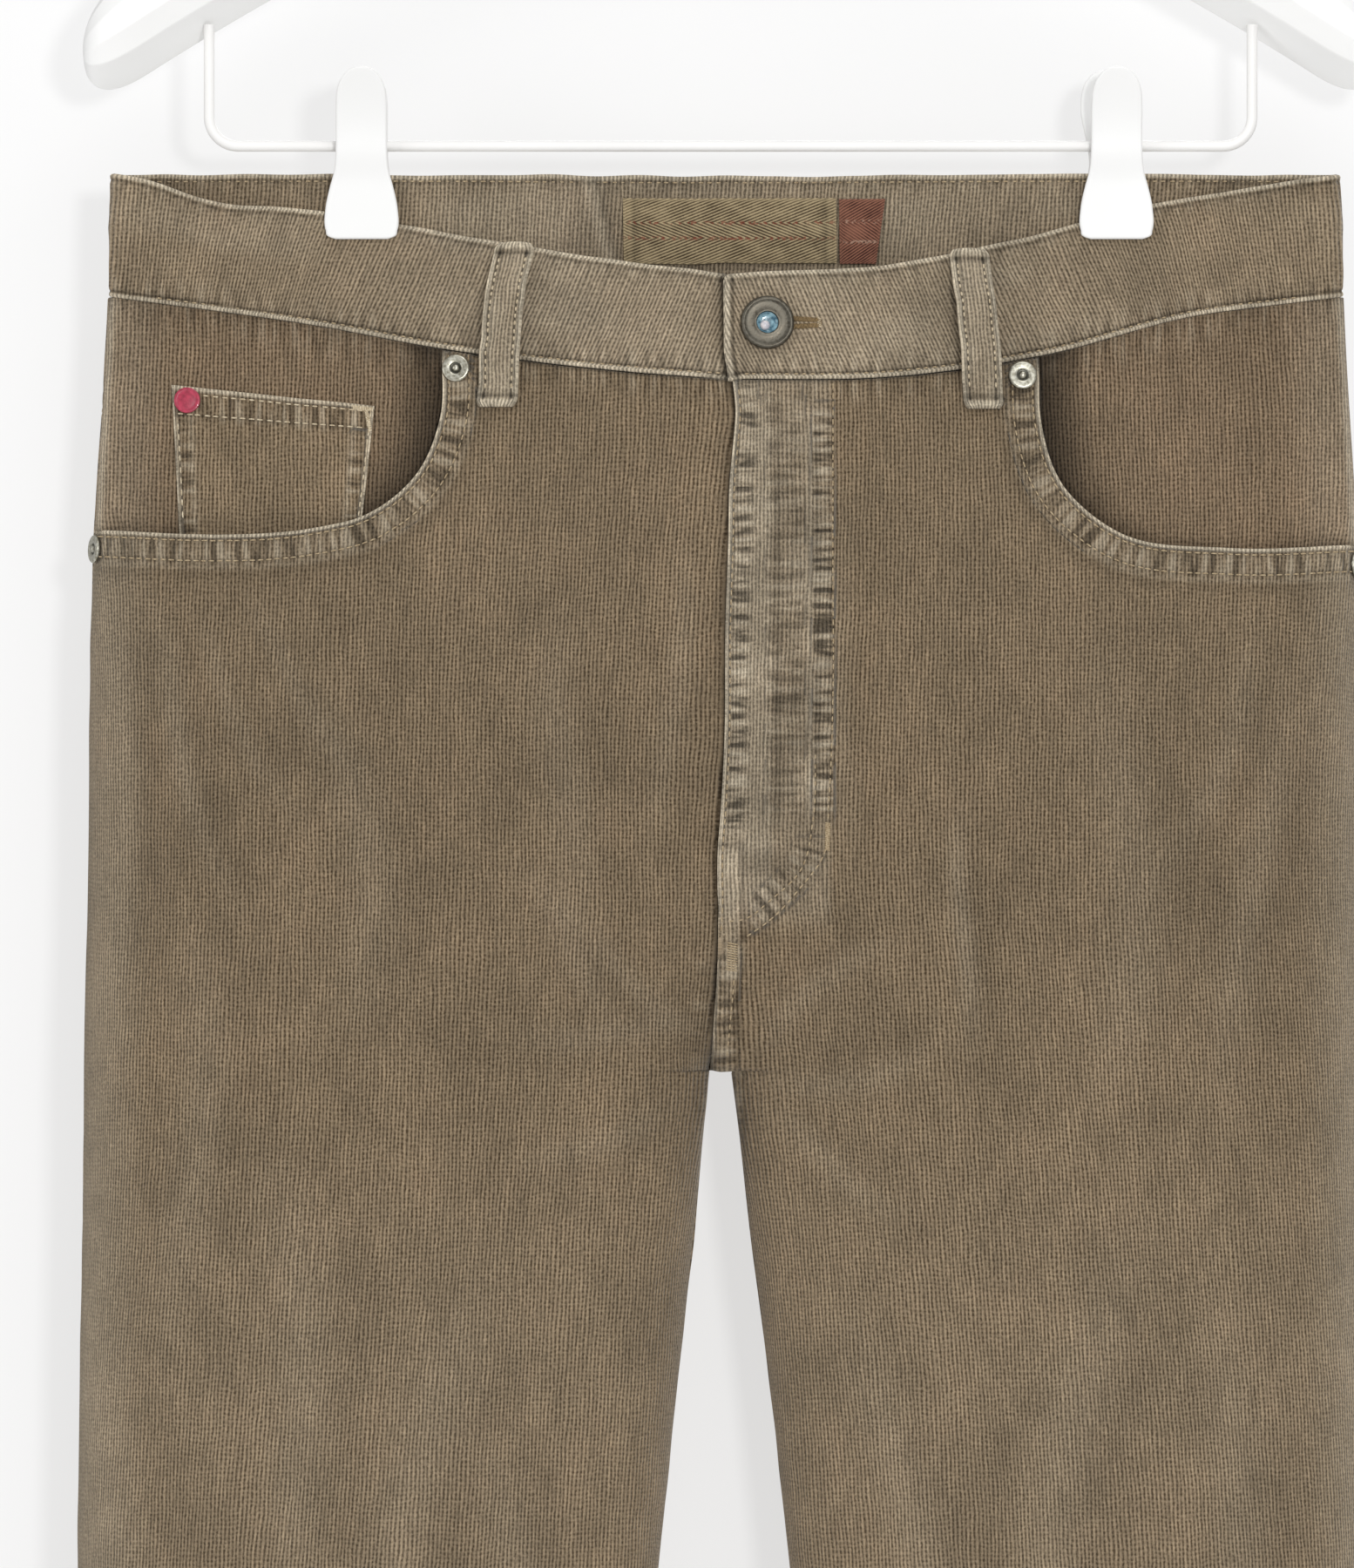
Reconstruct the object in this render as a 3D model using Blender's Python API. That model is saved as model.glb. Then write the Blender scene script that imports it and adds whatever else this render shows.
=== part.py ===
"""Five-pocket needlecord trousers held by a clip hanger.

Lengths here are millimetres in the garment's frame: the origin is the middle of the back waist's top edge,
the front faces -Y, and +X is the wearer's left. to_world() moves the points to the part's frame, in metres,
whose origin is the inner top of the hanger's hook.
"""

from math import pi

import bpy
import numpy as np
from mathutils.bvhtree import BVHTree

MM = 0.001

# Frame
HOOK_TOP = 225.0  # inner top of the hook, above the back waist
HANGER_X = 1.65  # the hanger's centre line, beside the trousers' own

# Cloth
SEAM = 0.3  # clearance between two pieces that are sewn or pressed together
LAID = 0.5  # clearance under a piece that lies on a panel, between their facets
CLOTH = 1.5  # one layer of needlecord
BAND_PROUD = 0.6  # the folded waistband's outer face, above the leg panels' face
BAND_DEEP = 2.0  # and its inner face, below that face
HEM_PROUD = 0.9  # the turned hem
FLY_PROUD = 0.7  # the lap over the zip
FACING_SUNK = 1.5  # how far a pocket facing lies deeper in the middle of the pocket's mouth
TAPE = 0.8
LOOP_THICK = 1.9
LOOP_HALF = 6.9
LOOP_STAND = 6.7  # room for a belt

# Heights
CROTCH = -308.0
HEM = -1095.0
HEM_TURN = 22.0
PANEL_EVEN = -160.0  # below this height a panel's columns run straight down
FORK = 60.0  # how far above the crotch the front and back seams have curved under

# Sections
SQUARENESS = 2.7  # exponent of the sections' superellipse
PINCH_END = -24.0  # the clips hold the cloth flat down to here
FULL_DEPTH = -190.0
CLIP_X = {-1: 125.1, 1: 134.1}  # middle of each clip from the trousers' centre
CLIP_FLAT = 13.5  # half width of the flat that a clip presses
PINCHED = 2.0  # half depth of the pressed waist, at the panels' face
WAIST_OPEN = 12.5  # half depth of the open waist in the middle
SIDE_FOLD = 5.5  # half depth, and radius, of the waist's folded ends
SIDE_OPEN = 198.0  # where, past a clip, the waist has opened to that depth

# (height, half width of the garment)
OUTER = (
    (0, 210.6),
    (-60, 213.2),
    (-132, 217.4),
    (-240, 219.2),
    (-401, 221.6),
    (-560, 223.0),
    (-850, 222.0),
    (-1095, 221.0),
)
# (height, distance of a leg's inner edge from the centre)
INNER = (
    (-308, 3.9),
    (-365, 9.9),
    (-401, 14.2),
    (-478, 22.6),
    (-560, 30.5),
    (-680, 41.0),
    (-850, 52.0),
    (-1095, 60.0),
)
# (height, front half depth, back half depth)
DEPTH = (
    (0, 31, 35),
    (-190, 36, 43),
    (-308, 38, 41),
    (-480, 35, 36),
    (-680, 30, 31),
    (-850, 26, 27),
    (-1095, 23, 23),
)
# (height, how far the centre seam strays from the middle)
LEAN = ((0, 0), (-71, 0.6), (-232, -3.3), (-308, -1.8), (-478, -0.4), (-1095, 0))

# Front waistband, (distance from the centre, height), for the wearer's right (-1) and left (1)
BAND_TOP = {
    -1: ((0, -34.7), (41, -29.6), (86, -22.2), (138, -12.9), (179, -8.5), (200, -2), (211, 0)),
    1: ((0, -34.7), (58, -30.8), (101, -22.2), (147, -10.2), (191, -3), (211, 0)),
}
BAND_SEAM = {
    -1: ((0, -71), (41, -67.6), (99, -59.9), (141, -52.1), (190, -45.2), (213, -42.2)),
    1: ((0, -71), (55, -70.0), (110, -62.0), (161, -48.8), (191, -44.9), (213, -42.2)),
}
BACK_SEAM_CENTRE, BACK_SEAM_SIDE = -40.0, -42.2
YOKE_CENTRE, YOKE_SIDE = -118.0, -82.0
UNDERLAP = 34.0  # how far the right waistband runs on under the left one
UNDERLAP_SHORT = 1.0  # and how much lower and shorter it is there
LAP_EDGE = 0.6
LAP_RAMP = (-14.0, -2.0)  # where the right waistband dips under the left one
LAP_X = (-14, -8, -2, 8, 20, UNDERLAP)  # columns of that stretch
FLY_EDGE, FLY_FOOT = (40.0, 33.0), (-262.0, -240.0)  # where the lap over the zip thins out

# Front pocket mouth, (distance from the centre, height), from the side seam up to the waist seam
MOUTH = {
    -1: ((216, -122.4), (167, -124), (142, -122), (122, -116.7), (106, -103), (98.5, -84), (98, -62)),
    1: ((216, -127.5), (173, -128.7), (134, -123), (114, -105), (107.8, -86), (107, -65)),
}
FACING_IN = 9.0  # how far the facing runs past the pocket's corner
FACING_BELOW = 13.0  # and below its mouth
FACING_RAMP = 15.0
FACING_CLEAR = 0.9  # more room for it behind the leg panel

# Coin pocket corners, (x, height), top outer, top inner, bottom outer, bottom inner
COIN = ((-190.5, -72.3), (-121.0, -79.3), (-187.0, -121.5), (-127.0, -117.5))
COIN_FACE = -FACING_SUNK - SEAM  # its outer face, below the panels' face

# Back pockets
POCKET_X, POCKET_BELOW_YOKE = 99.0, 21.0
POCKET_HALF, POCKET_TAPER = 69.0, 7.0
POCKET_TALL, POCKET_POINT = 128.0, 18.0

# Belt loops: name, face, x at the top, x at the bottom, top height, bottom height
LOOPS = (
    ("loop_front_right", -1, -72.8, -79.3, -25.2, -80.8),
    ("loop_front_left", -1, 82.9, 88.0, -27.4, -81.4),
    ("loop_back_right", 1, -166.0, -166.0, -0.5, -56.0),
    ("loop_centre_back", 1, 0.0, 0.0, -0.5, -56.0),
    ("loop_back_left", 1, 166.0, 166.0, -0.5, -56.0),
)

# Rivets: name, x, height, radius, clearance over the cloth's bend
RIVETS = (
    ("rivet_waist_right", -93.1, -67.2, 4.8, 0.0),
    ("rivet_waist_left", 101.2, -69.6, 4.9, 0.0),
    ("rivet_side_right", -216.4, -129.0, 4.8, 0.5),
    ("rivet_side_left", 216.4, -134.5, 4.8, 0.5),
    ("rivet_coin", -185.0, -77.8, 4.5, 0.0),
)
BUTTON_X, BUTTON_Z, BUTTON_RADIUS = 13.5, -51.8, 9.25

# Soft folds: face, x and height at each end, half width, depth inwards
FOLDS = (
    (-1, -62, -180, -74, -330, 17, 1.6),
    (-1, 84, -200, 96, -360, 19, 1.8),
    (-1, -30, -330, -128, -420, 20, 1.8),
    (-1, 32, -332, 132, -430, 20, 1.8),
    (-1, -150, -560, -78, -690, 28, 2.4),
    (-1, 92, -590, 166, -720, 28, 2.4),
    (1, -120, -90, -60, -300, 27, 1.8),
    (1, 128, -90, 66, -310, 27, 1.8),
    (1, -28, -345, -170, -400, 17, 3.6),
    (1, 30, -350, 176, -410, 17, 3.6),
    (1, -60, -640, -185, -720, 24, 3.2),
    (1, 62, -650, 186, -735, 24, 3.2),
    (1, -185, -430, -150, -600, 24, 2.4),
    (1, 183, -440, 150, -610, 24, 2.4),
)

# Hanger
BAR_RADIUS, BAR_Z, BAR_HALF, BAR_BEND = 1.85, 9.6, 179.2, 10.0
ARM_RIDGE, ARM_SLOPE, ARM_CURVE, ARM_HALF = 133.7, 0.30, 0.0009, 222.6
# (depth, height above the ridge) round an upright section of the arms, from the ridge on
ARM_SECTION = (
    (-8, 0), (8, -10), (12, -5), (13, 6), (12, 18), (7, 27), (0, 30), (-7, 27), (-11.5, 19), (-12.5, 9),
)
ARM_CROWN, ARM_UNDER = 30.0, -5.0  # height of the top and of the underside above the ridge, at depth 0
ARM_THIN, ARM_THICK = 0.62, 1.15  # share of the section's depth at the neck and near the tips
TIP_LONG = 22.6  # the rounded end of an arm
HOOK_RADIUS, HOOK_INNER, HOOK_STEM = 2.25, 18.0, 12.0
COLLAR_RADIUS, COLLAR_TALL, COLLAR_EDGE = 6.0, 8.5, 1.5
CLIP_TOP, CLIP_PLATE, CLIP_GAP = 36.5, 2.4, 0.3
SPLAY, SPLAY_HEIGHTS = 8.5, (10.6, 52.5)  # how far a plate's handle would lean out between two heights
# (height, half width) of a clip's plates
CLIP_OUTLINE = (
    (-22.5, 9.4), (-21.6, 11.4), (-19.5, 12.3), (-12, 12.4), (-5, 11.0), (1, 9.4), (6, 8.9),
    (9.6, 8.8), (15, 8.75), (24, 8.7), (29, 8.2), (33, 6.4), (35.6, 3.6), (CLIP_TOP, 1.2),
)
PIVOT_OUTER, PIVOT_HALF = 4.4, 6.5

# Rows and columns of the leg panels' points
PANEL_COLUMNS, MOUTH_COLUMNS = 19, 12
FORK_ROWS = (PANEL_EVEN, -187, -215, -243, -265, -283, -296, -303.5, -307, CROTCH)
LEG_ROWS = (-313, -328, -355, -390, -435, -490, -560, -640, -720, -810, -910, -1010)
THIGH = CROTCH - 60  # between here and the heights above and below, a panel's columns shift evenly

# Colour, roughness, metallic
LOOKS = {
    "cord": ((0.19, 0.145, 0.10), 0.9, 0.0),
    "tape": ((0.20, 0.155, 0.095), 0.85, 0.0),
    "red_tape": ((0.15, 0.055, 0.045), 0.85, 0.0),
    "nickel": ((0.35, 0.34, 0.31), 0.35, 1.0),
    "red_enamel": ((0.35, 0.02, 0.04), 0.3, 0.0),
    "white_plastic": ((0.85, 0.85, 0.84), 0.4, 0.0),
    "white_wire": ((0.83, 0.83, 0.82), 0.35, 0.0),
}


# --- Small mathematics


def smooth(rows, at, column=1):
    """The value of a table's column at a position, on a smooth curve through its rows."""
    table = np.array(rows, float)
    table = table[np.argsort(table[:, 0])]
    x, y = table[:, 0], table[:, column]
    slope = np.gradient(y, x)
    at = np.asarray(at, float)
    i = np.clip(np.searchsorted(x, at) - 1, 0, len(x) - 2)
    wide = x[i + 1] - x[i]
    u = np.clip((at - x[i]) / wide, 0, 1)
    low = (1 + 2 * u) * (1 - u) ** 2 * y[i] + u * (1 - u) ** 2 * wide * slope[i]
    high = u * u * (3 - 2 * u) * y[i + 1] + u * u * (u - 1) * wide * slope[i + 1]
    return low + high


def step(value, start, end):
    """0 before start, 1 after end, and smooth between them."""
    u = np.clip((np.asarray(value, float) - start) / (end - start), 0, 1)
    return u * u * (3 - 2 * u)


def mix(a, b, share):
    return a + (b - a) * share


def root(base, power):
    """A power that keeps the base's sign."""
    return np.sign(base) * np.abs(base) ** power


def along(points, count, crowd=1.0):
    """Points on a smooth curve through the given ones, closer at its start if crowd is over 1."""
    points = np.array(points, float)
    run = np.r_[0, np.cumsum(np.hypot(*np.diff(points, axis=0).T))]
    at = np.linspace(0, 1, count) ** crowd * run[-1]
    return np.stack([smooth(np.c_[run, points[:, k]], at) for k in (0, 1)], axis=1)


# --- The body: the outer face of the leg panels, on one side (-1 or 1) and one face (-1 front, 1 back).
# t runs from 0 at the side seam to 1 at the centre seam or the inseam.


def inner_edge(z):
    """Where a half ends: at the centre seam above the crotch and at the leg's inner edge below it."""
    above = mix(SEAM / 2, INNER[0][1], 1 - np.clip((z - CROTCH) / 1.0, 0, 1))
    return np.where(z >= CROTCH, above, smooth(INNER, z))


def half_section(z):
    """The middle and the half width of one side's section."""
    outer = smooth(OUTER, z)
    rising = mix(INNER[0][1], SEAM / 2, np.clip((z - CROTCH) / FORK, 0, 1))
    inner = np.where(z >= CROTCH, rising, smooth(INNER, z))
    return (outer + inner) / 2, (outer - inner) / 2


def across(t, z):
    """Distance from the centre."""
    middle, half = half_section(z)
    inner = middle - half
    x = middle + half * root(np.cos(pi * t), 2 / SQUARENESS)
    return x - (inner - inner_edge(z)) * step(t, 0.85, 1)


def t_of(x, z):
    """The t at a distance from the centre, away from the crotch."""
    middle, half = half_section(z)
    return np.arccos(root(np.clip((np.abs(x) - middle) / half, -1, 1), SQUARENESS / 2)) / pi


def waist_depth(side, x, z):
    """Half depth of the clipped waist: flat under a clip, open in the middle and at the folded end."""
    clip, outer = CLIP_X[side], smooth(OUTER, z)
    inside, outside = clip - CLIP_FLAT, clip + CLIP_FLAT
    middle = (WAIST_OPEN - PINCHED) * np.cos(pi / 2 * np.clip(x / inside, 0, 1)) ** 2
    opened = np.clip((x - outside) / (SIDE_OPEN - outside), 0, 1)
    end = (SIDE_FOLD - PINCHED) * np.sin(pi / 2 * opened) ** 2
    fold = np.sqrt(1 - np.clip((x - outer) / SIDE_FOLD + 1, 0, 1) ** 2)
    return (PINCHED + middle + end) * fold


def fold_depth(face, x, z):
    """How far the soft folds press the surface in."""
    total = np.zeros(np.broadcast(x, z).shape)
    for of_face, x0, z0, x1, z1, half, deep in FOLDS:
        if of_face != face:
            continue
        run = np.array([x1 - x0, z1 - z0], float)
        share = ((x - x0) * run[0] + (z - z0) * run[1]) / (run @ run)
        off = ((x - x0) * run[1] - (z - z0) * run[0]) / np.hypot(*run)
        ends = step(share, -0.15, 0.3) * step(share, 1.15, 0.7)
        total = total + deep * ends * np.exp(-((off / half) ** 2))
    return total


def body(side, face, t, z):
    t, z = np.broadcast_arrays(np.asarray(t, float), np.asarray(z, float))
    x = across(t, z)
    outer = smooth(OUTER, z)
    deep = smooth(DEPTH, z, 1 if face < 0 else 2)
    leg = np.sin(pi * np.clip(t, 0, 1)) ** (2 / SQUARENESS)
    hip = np.clip(1 - (x / outer) ** SQUARENESS, 0, 1) ** (1 / SQUARENESS)
    up = np.clip((z - CROTCH) / FORK, 0, 1)
    under = mix(step(up, 0, 1), np.sqrt(1 - (1 - up) ** 2), step(t, 0.7, 1))
    round_ = mix(leg, hip, under)
    y = deep * round_ - fold_depth(face, side * x, z) * step(round_, 0.5, 0.95)
    pinch = step(z, FULL_DEPTH, PINCH_END)
    y = mix(y, waist_depth(side, x, z), pinch)
    lean = smooth(LEAN, z) * (1 - (x / outer) ** 2)
    return np.stack([side * x + lean, face * (SEAM / 2 + y), z + 0 * x], axis=-1)


def lifted(side, face, t, z, out):
    """Points moved out of the panels' face along its normal."""
    t, z = np.broadcast_arrays(np.asarray(t, float), np.asarray(z, float))
    dt, dz = np.where(t > 0.5, -1e-3, 1e-3), 0.5
    here = body(side, face, t, z)
    over = (body(side, face, t + dt, z) - here) * np.sign(dt)[..., None]
    up = body(side, face, t, z + dz) - body(side, face, t, z - dz)
    normal = np.cross(over, up)
    normal *= side * face / np.linalg.norm(normal, axis=-1, keepdims=True)
    return here + normal * np.asarray(out, float)[..., None]


def placed(face, x, z, out):
    """A lifted point given by its x in the picture, above the crotch's curve."""
    x, z, out = np.broadcast_arrays(*(np.asarray(value, float) for value in (x, z, out)))
    found = np.empty(x.shape + (3,))
    for side in (-1, 1):
        here = (x >= 0) == (side > 0)
        found[here] = lifted(side, face, t_of(x[here], z[here]), z[here], out[here])
    return found


def even_t(side, face, z, count, start=0.0, end=1.0, crowd=0.075):
    """Values of t whose points lie evenly along a section, and closer at its ends, where it turns."""
    t = np.linspace(start, end, 600)
    run = np.linalg.norm(np.diff(body(side, face, t, z), axis=0), axis=1)
    run = np.r_[0, np.cumsum(run)]
    share = np.linspace(0, 1, count)
    return np.interp((share - crowd * np.sin(2 * pi * share)) * run[-1], run, t)


# --- Meshes


def to_world(points):
    return (np.asarray(points, float) - (HANGER_X, 0, HOOK_TOP)) * MM


def material(look):
    colour, rough, metal = LOOKS[look]
    made = bpy.data.materials.get(look) or bpy.data.materials.new(look)
    made.use_nodes = True
    surface = made.node_tree.nodes["Principled BSDF"]
    surface.inputs["Base Color"].default_value = (*colour, 1)
    surface.inputs["Roughness"].default_value = rough
    surface.inputs["Metallic"].default_value = metal
    return made


def solid(name, points, faces, look):
    """A mesh object with its faces turned out."""
    points = to_world(points)
    volume = 0.0
    for face in faces:
        a, b, c = points[face[0]], points[face[1:-1]], points[face[2:]]
        volume += np.sum(np.cross(b - a, c - a) @ a)
    if volume < 0:
        faces = [face[::-1] for face in faces]
    mesh = bpy.data.meshes.new(name)
    mesh.from_pydata(points.tolist(), [], [list(map(int, face)) for face in faces])
    mesh.shade_smooth()
    mesh.set_sharp_from_angle(angle=0.7)
    mesh.materials.append(material(look))
    made = bpy.data.objects.new(name, mesh)
    bpy.context.collection.objects.link(made)
    return made


def quads(rows, cols, start=0):
    at = start + np.arange(rows * cols).reshape(rows, cols)
    corners = at[:-1, :-1], at[:-1, 1:], at[1:, 1:], at[1:, :-1]
    return np.stack([corner.ravel() for corner in corners], axis=1)


def wall(name, outside, inside, look="cord"):
    """A closed wall between two grids of points."""
    rows, cols = outside.shape[:2]
    at = np.arange(rows * cols).reshape(rows, cols)
    rim = np.r_[at[0, :-1], at[:-1, -1], at[-1, :0:-1], at[:0:-1, 0]]
    back = rim + rows * cols
    edge = np.stack([rim, back, np.roll(back, -1), np.roll(rim, -1)], axis=1)
    faces = [*quads(rows, cols), *quads(rows, cols, rows * cols)[:, ::-1], *edge]
    points = np.concatenate([outside.reshape(-1, 3), inside.reshape(-1, 3)])
    return solid(name, points, faces, look)


def loft(name, rings, look, closed=False):
    """Rings joined in order, with their ends capped or, when closed, joined too."""
    count, around = rings.shape[:2]
    at = np.arange(count * around).reshape(count, around)
    at = np.c_[at, at[:, :1]]
    if closed:
        at = np.r_[at, at[:1]]
    corners = at[:-1, :-1], at[:-1, 1:], at[1:, 1:], at[1:, :-1]
    faces = list(np.stack([corner.ravel() for corner in corners], axis=1))
    if not closed:
        faces += [at[0, :-1][::-1], at[-1, :-1]]
    return solid(name, rings.reshape(-1, 3), faces, look)


def turned(name, profile, centre, axis, look, around, closed=False):
    """A (radius, height) profile turned about an axis."""
    axis = np.array(axis, float) / np.linalg.norm(axis)
    beside = np.cross(axis, (0, 0, 1) if abs(axis[2]) < 0.9 else (1, 0, 0))
    beside /= np.linalg.norm(beside)
    other = np.cross(axis, beside)
    angle = np.arange(around) * 2 * pi / around
    ring = np.outer(np.cos(angle), beside) + np.outer(np.sin(angle), other)
    rings = np.array([np.asarray(centre) + ring * r + axis * h for r, h in profile])
    return loft(name, rings, look, closed)


def rod(name, points, radius, look):
    """A round rod along points, as a curve with a bevel."""
    curve = bpy.data.curves.new(name, "CURVE")
    curve.dimensions = "3D"
    curve.bevel_depth = radius * MM
    curve.bevel_resolution = 2
    curve.use_fill_caps = True
    spline = curve.splines.new("POLY")
    spline.points.add(len(points) - 1)
    for point, at in zip(spline.points, to_world(points)):
        point.co = (*at, 1)
    curve.materials.append(material(look))
    made = bpy.data.objects.new(name, curve)
    bpy.context.collection.objects.link(made)
    return made


# --- Leg panels


def hem_and_fly(face, side, t, z):
    """How far a panel's outer face stands proud of the plain one."""
    proud = HEM_PROUD * (np.asarray(z) <= HEM + HEM_TURN)
    if face < 0 < side:
        lap = step(across(t, z), *FLY_EDGE) * step(z, *FLY_FOOT)
        proud = proud + FLY_PROUD * lap
    return proud


def panel(name, side, face, top_t, top_z):
    """A leg panel below its top edge, which has one point for each column. Returns its outer face."""
    columns = len(top_t)
    even = even_t(side, face, PANEL_EVEN, columns)
    up = np.linspace(0, 1, 5)[:-1, None]
    upper = mix(top_t, even, up), mix(top_z, PANEL_EVEN, up)
    turn = HEM + HEM_TURN
    rows = np.array([*FORK_ROWS, *LEG_ROWS, turn + 0.6, turn, HEM])[:, None]
    section = [even_t(side, face, z, columns) for z in (PANEL_EVEN, THIGH, HEM)]
    lower = np.where(
        rows > THIGH,
        mix(section[0], section[1], step(rows, PANEL_EVEN, THIGH)),
        mix(section[1], section[2], np.clip((THIGH - rows) / (THIGH - HEM), 0, 1)),
    )
    t = np.r_[upper[0], lower]
    z = np.r_[upper[1], rows + 0 * lower]
    outside = lifted(side, face, t, z, hem_and_fly(face, side, t, z))
    wall(name, outside, lifted(side, face, t, z, np.full(t.shape, -CLOTH)))
    return outside


def front(name, side):
    mouth = along(MOUTH[side], MOUTH_COLUMNS, 1.35)
    corner = mouth[-1, 0]
    seam_x = np.linspace(corner, 0, PANEL_COLUMNS - MOUTH_COLUMNS + 1)[1:]
    x = np.r_[mouth[:, 0], seam_x]
    z = np.r_[mouth[:, 1], smooth(BAND_SEAM[side], seam_x) - SEAM]
    z[MOUTH_COLUMNS - 1] = smooth(BAND_SEAM[side], corner) - SEAM
    t = t_of(x, z)
    t[0], t[-1] = 0, 1
    return panel(name, side, -1, t, z)


def back_seam(x):
    return mix(BACK_SEAM_CENTRE, BACK_SEAM_SIDE, np.abs(x) / 213)


def yoke_seam(x):
    return mix(YOKE_CENTRE, YOKE_SIDE, np.clip(np.abs(x) / 214, 0, 1))


def yoke_columns(side):
    t = even_t(side, 1, YOKE_SIDE, PANEL_COLUMNS)
    return t, across(t, YOKE_SIDE)


def back(name, side):
    t, x = yoke_columns(side)
    return panel(name, side, 1, t, yoke_seam(x) - SEAM)


def patch(name, face, side, t, z_top, z_bottom, rows, outer, inner):
    """A wall between two heights given for each column."""
    share = np.linspace(0, 1, rows)[:, None]
    z = mix(z_top, z_bottom, share)
    t = t + 0 * z
    outside = lifted(side, face, t, z, outer(t, z) if callable(outer) else np.full(z.shape, outer))
    inside = lifted(side, face, t, z, inner(t, z) if callable(inner) else np.full(z.shape, inner))
    return wall(name, outside, inside)


def yoke(name, side):
    t, x = yoke_columns(side)
    return patch(name, 1, side, t, back_seam(x) - SEAM, yoke_seam(x), 4, 0.0, -CLOTH)


def facing(name, side):
    """The cloth behind a front pocket's mouth, seated at the waist and side seams and deeper in the middle."""
    mouth = along(MOUTH[side], 40)
    inner_x = mouth[-1, 0] - FACING_IN
    t = even_t(side, -1, -70, 12, 0, float(t_of(inner_x, -70)))
    x = across(t, -70)
    top = smooth(BAND_SEAM[side], x) - LAID
    bottom = np.interp(x, mouth[::-1, 0], mouth[::-1, 1]) - FACING_BELOW

    def sunk(t, z):
        x = across(t, z)
        wide, tall = smooth(OUTER, z) - x, smooth(BAND_SEAM[side], x) - z
        inside = step(wide, 2, 2 + FACING_RAMP) * step(tall, 2, 2 + FACING_RAMP)
        below = np.interp(x, mouth[::-1, 0], mouth[::-1, 1]) - z
        hidden = step(below, -8, 0)
        return -CLOTH - SEAM - np.maximum(FACING_SUNK * inside, (FACING_SUNK + FACING_CLEAR) * hidden)

    return patch(name, -1, side, t, top, bottom, 9, sunk, lambda t, z: sunk(t, z) - CLOTH)


# --- Waistband


def front_height(table, x):
    return np.where(x < 0, smooth(table[-1], -x), smooth(table[1], x))


def front_band(name, side):
    """Half of the front waistband. The right one runs on under the left one."""
    x = side * across(even_t(side, -1, -20, 19), -20)
    x[-1] = LAP_EDGE
    if side < 0:
        x = np.r_[x[x < LAP_X[0] - 1], LAP_X]
    past = UNDERLAP_SHORT * (x * side < 0)
    down = np.linspace(0, 1, 4)[:, None]
    z = mix(front_height(BAND_TOP, x) - past, front_height(BAND_SEAM, x) + past, down)
    sunk = step(x, *LAP_RAMP) * (BAND_PROUD + BAND_DEEP + SEAM) * (side < 0)
    outside = placed(-1, x + 0 * z, z, BAND_PROUD - sunk + 0 * z)
    return wall(name, outside, placed(-1, x + 0 * z, z, -BAND_DEEP - sunk + 0 * z))


def back_band(name):
    right = even_t(-1, 1, -20, 17)
    x = np.r_[-across(right, -20)[:-1], 0, across(right, -20)[-2::-1]]
    z = mix(0 * x, back_seam(x), np.linspace(0, 1, 4)[:, None])
    outside = placed(1, x + 0 * z, z, BAND_PROUD + 0 * z)
    return wall(name, outside, placed(1, x + 0 * z, z, -BAND_DEEP + 0 * z))


def band_tape(name, x0, x1, z0, z1, look):
    x = np.linspace(x0, x1, max(3, int((x1 - x0) / 12)))
    z = mix(z0, z1 + 0 * x, np.linspace(0, 1, 3)[:, None])
    outer = -BAND_DEEP - SEAM
    outside = placed(1, x + 0 * z, z, outer + 0 * z)
    return wall(name, outside, placed(1, x + 0 * z, z, outer - TAPE + 0 * z), look)


# --- What lies on the panels


def loop(name, face, x_top, x_bottom, z_top, z_bottom):
    """A belt loop: sewn down at its ends and standing off in the middle."""
    share = np.linspace(0, 1, 15)[:, None]
    across_ = np.linspace(-LOOP_HALF, LOOP_HALF, 3)
    x = mix(x_top, x_bottom, share) + across_
    z = mix(z_top, z_bottom, share) + 0 * x
    if face < 0:
        side = 1 if x_top > 0 else -1
        seam = smooth(BAND_SEAM[side], np.abs(x))
    else:
        seam = back_seam(x)
    seat = LAID + BAND_PROUD * step(z, seam - 4, seam - 1)
    stand = (LOOP_STAND - LAID) * step(share, 0.05, 0.33) * step(share, 0.95, 0.67)
    under = seat + stand
    return wall(name, placed(face, x, z, under + LOOP_THICK), placed(face, x, z, under))


def coin_pocket(name):
    corners = np.array(COIN)
    right, down = np.linspace(0, 1, 6), np.linspace(0, 1, 5)[:, None]
    x, z = (
        mix(mix(corners[0, k], corners[1, k], right), mix(corners[2, k], corners[3, k], right), down)
        for k in (0, 1)
    )
    return wall(name, placed(-1, x, z, COIN_FACE + 0 * x), placed(-1, x, z, COIN_FACE - CLOTH + SEAM + 0 * x))


def laid_on(panel_face, face, x, z, out):
    """Points at a distance above a panel's own facets."""
    rows, cols = panel_face.shape[:2]
    tree = BVHTree.FromPolygons(panel_face.reshape(-1, 3).tolist(), quads(rows, cols).tolist())
    start, beyond = placed(face, x, z, 20 + 0 * x), placed(face, x, z, 0 * x)
    found = np.empty(start.shape)
    for at in np.ndindex(x.shape):
        inwards = beyond[at] - start[at]
        hit = tree.ray_cast(start[at].tolist(), inwards.tolist())[0]
        found[at] = np.array(hit) - inwards / np.linalg.norm(inwards) * out
    return found


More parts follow.
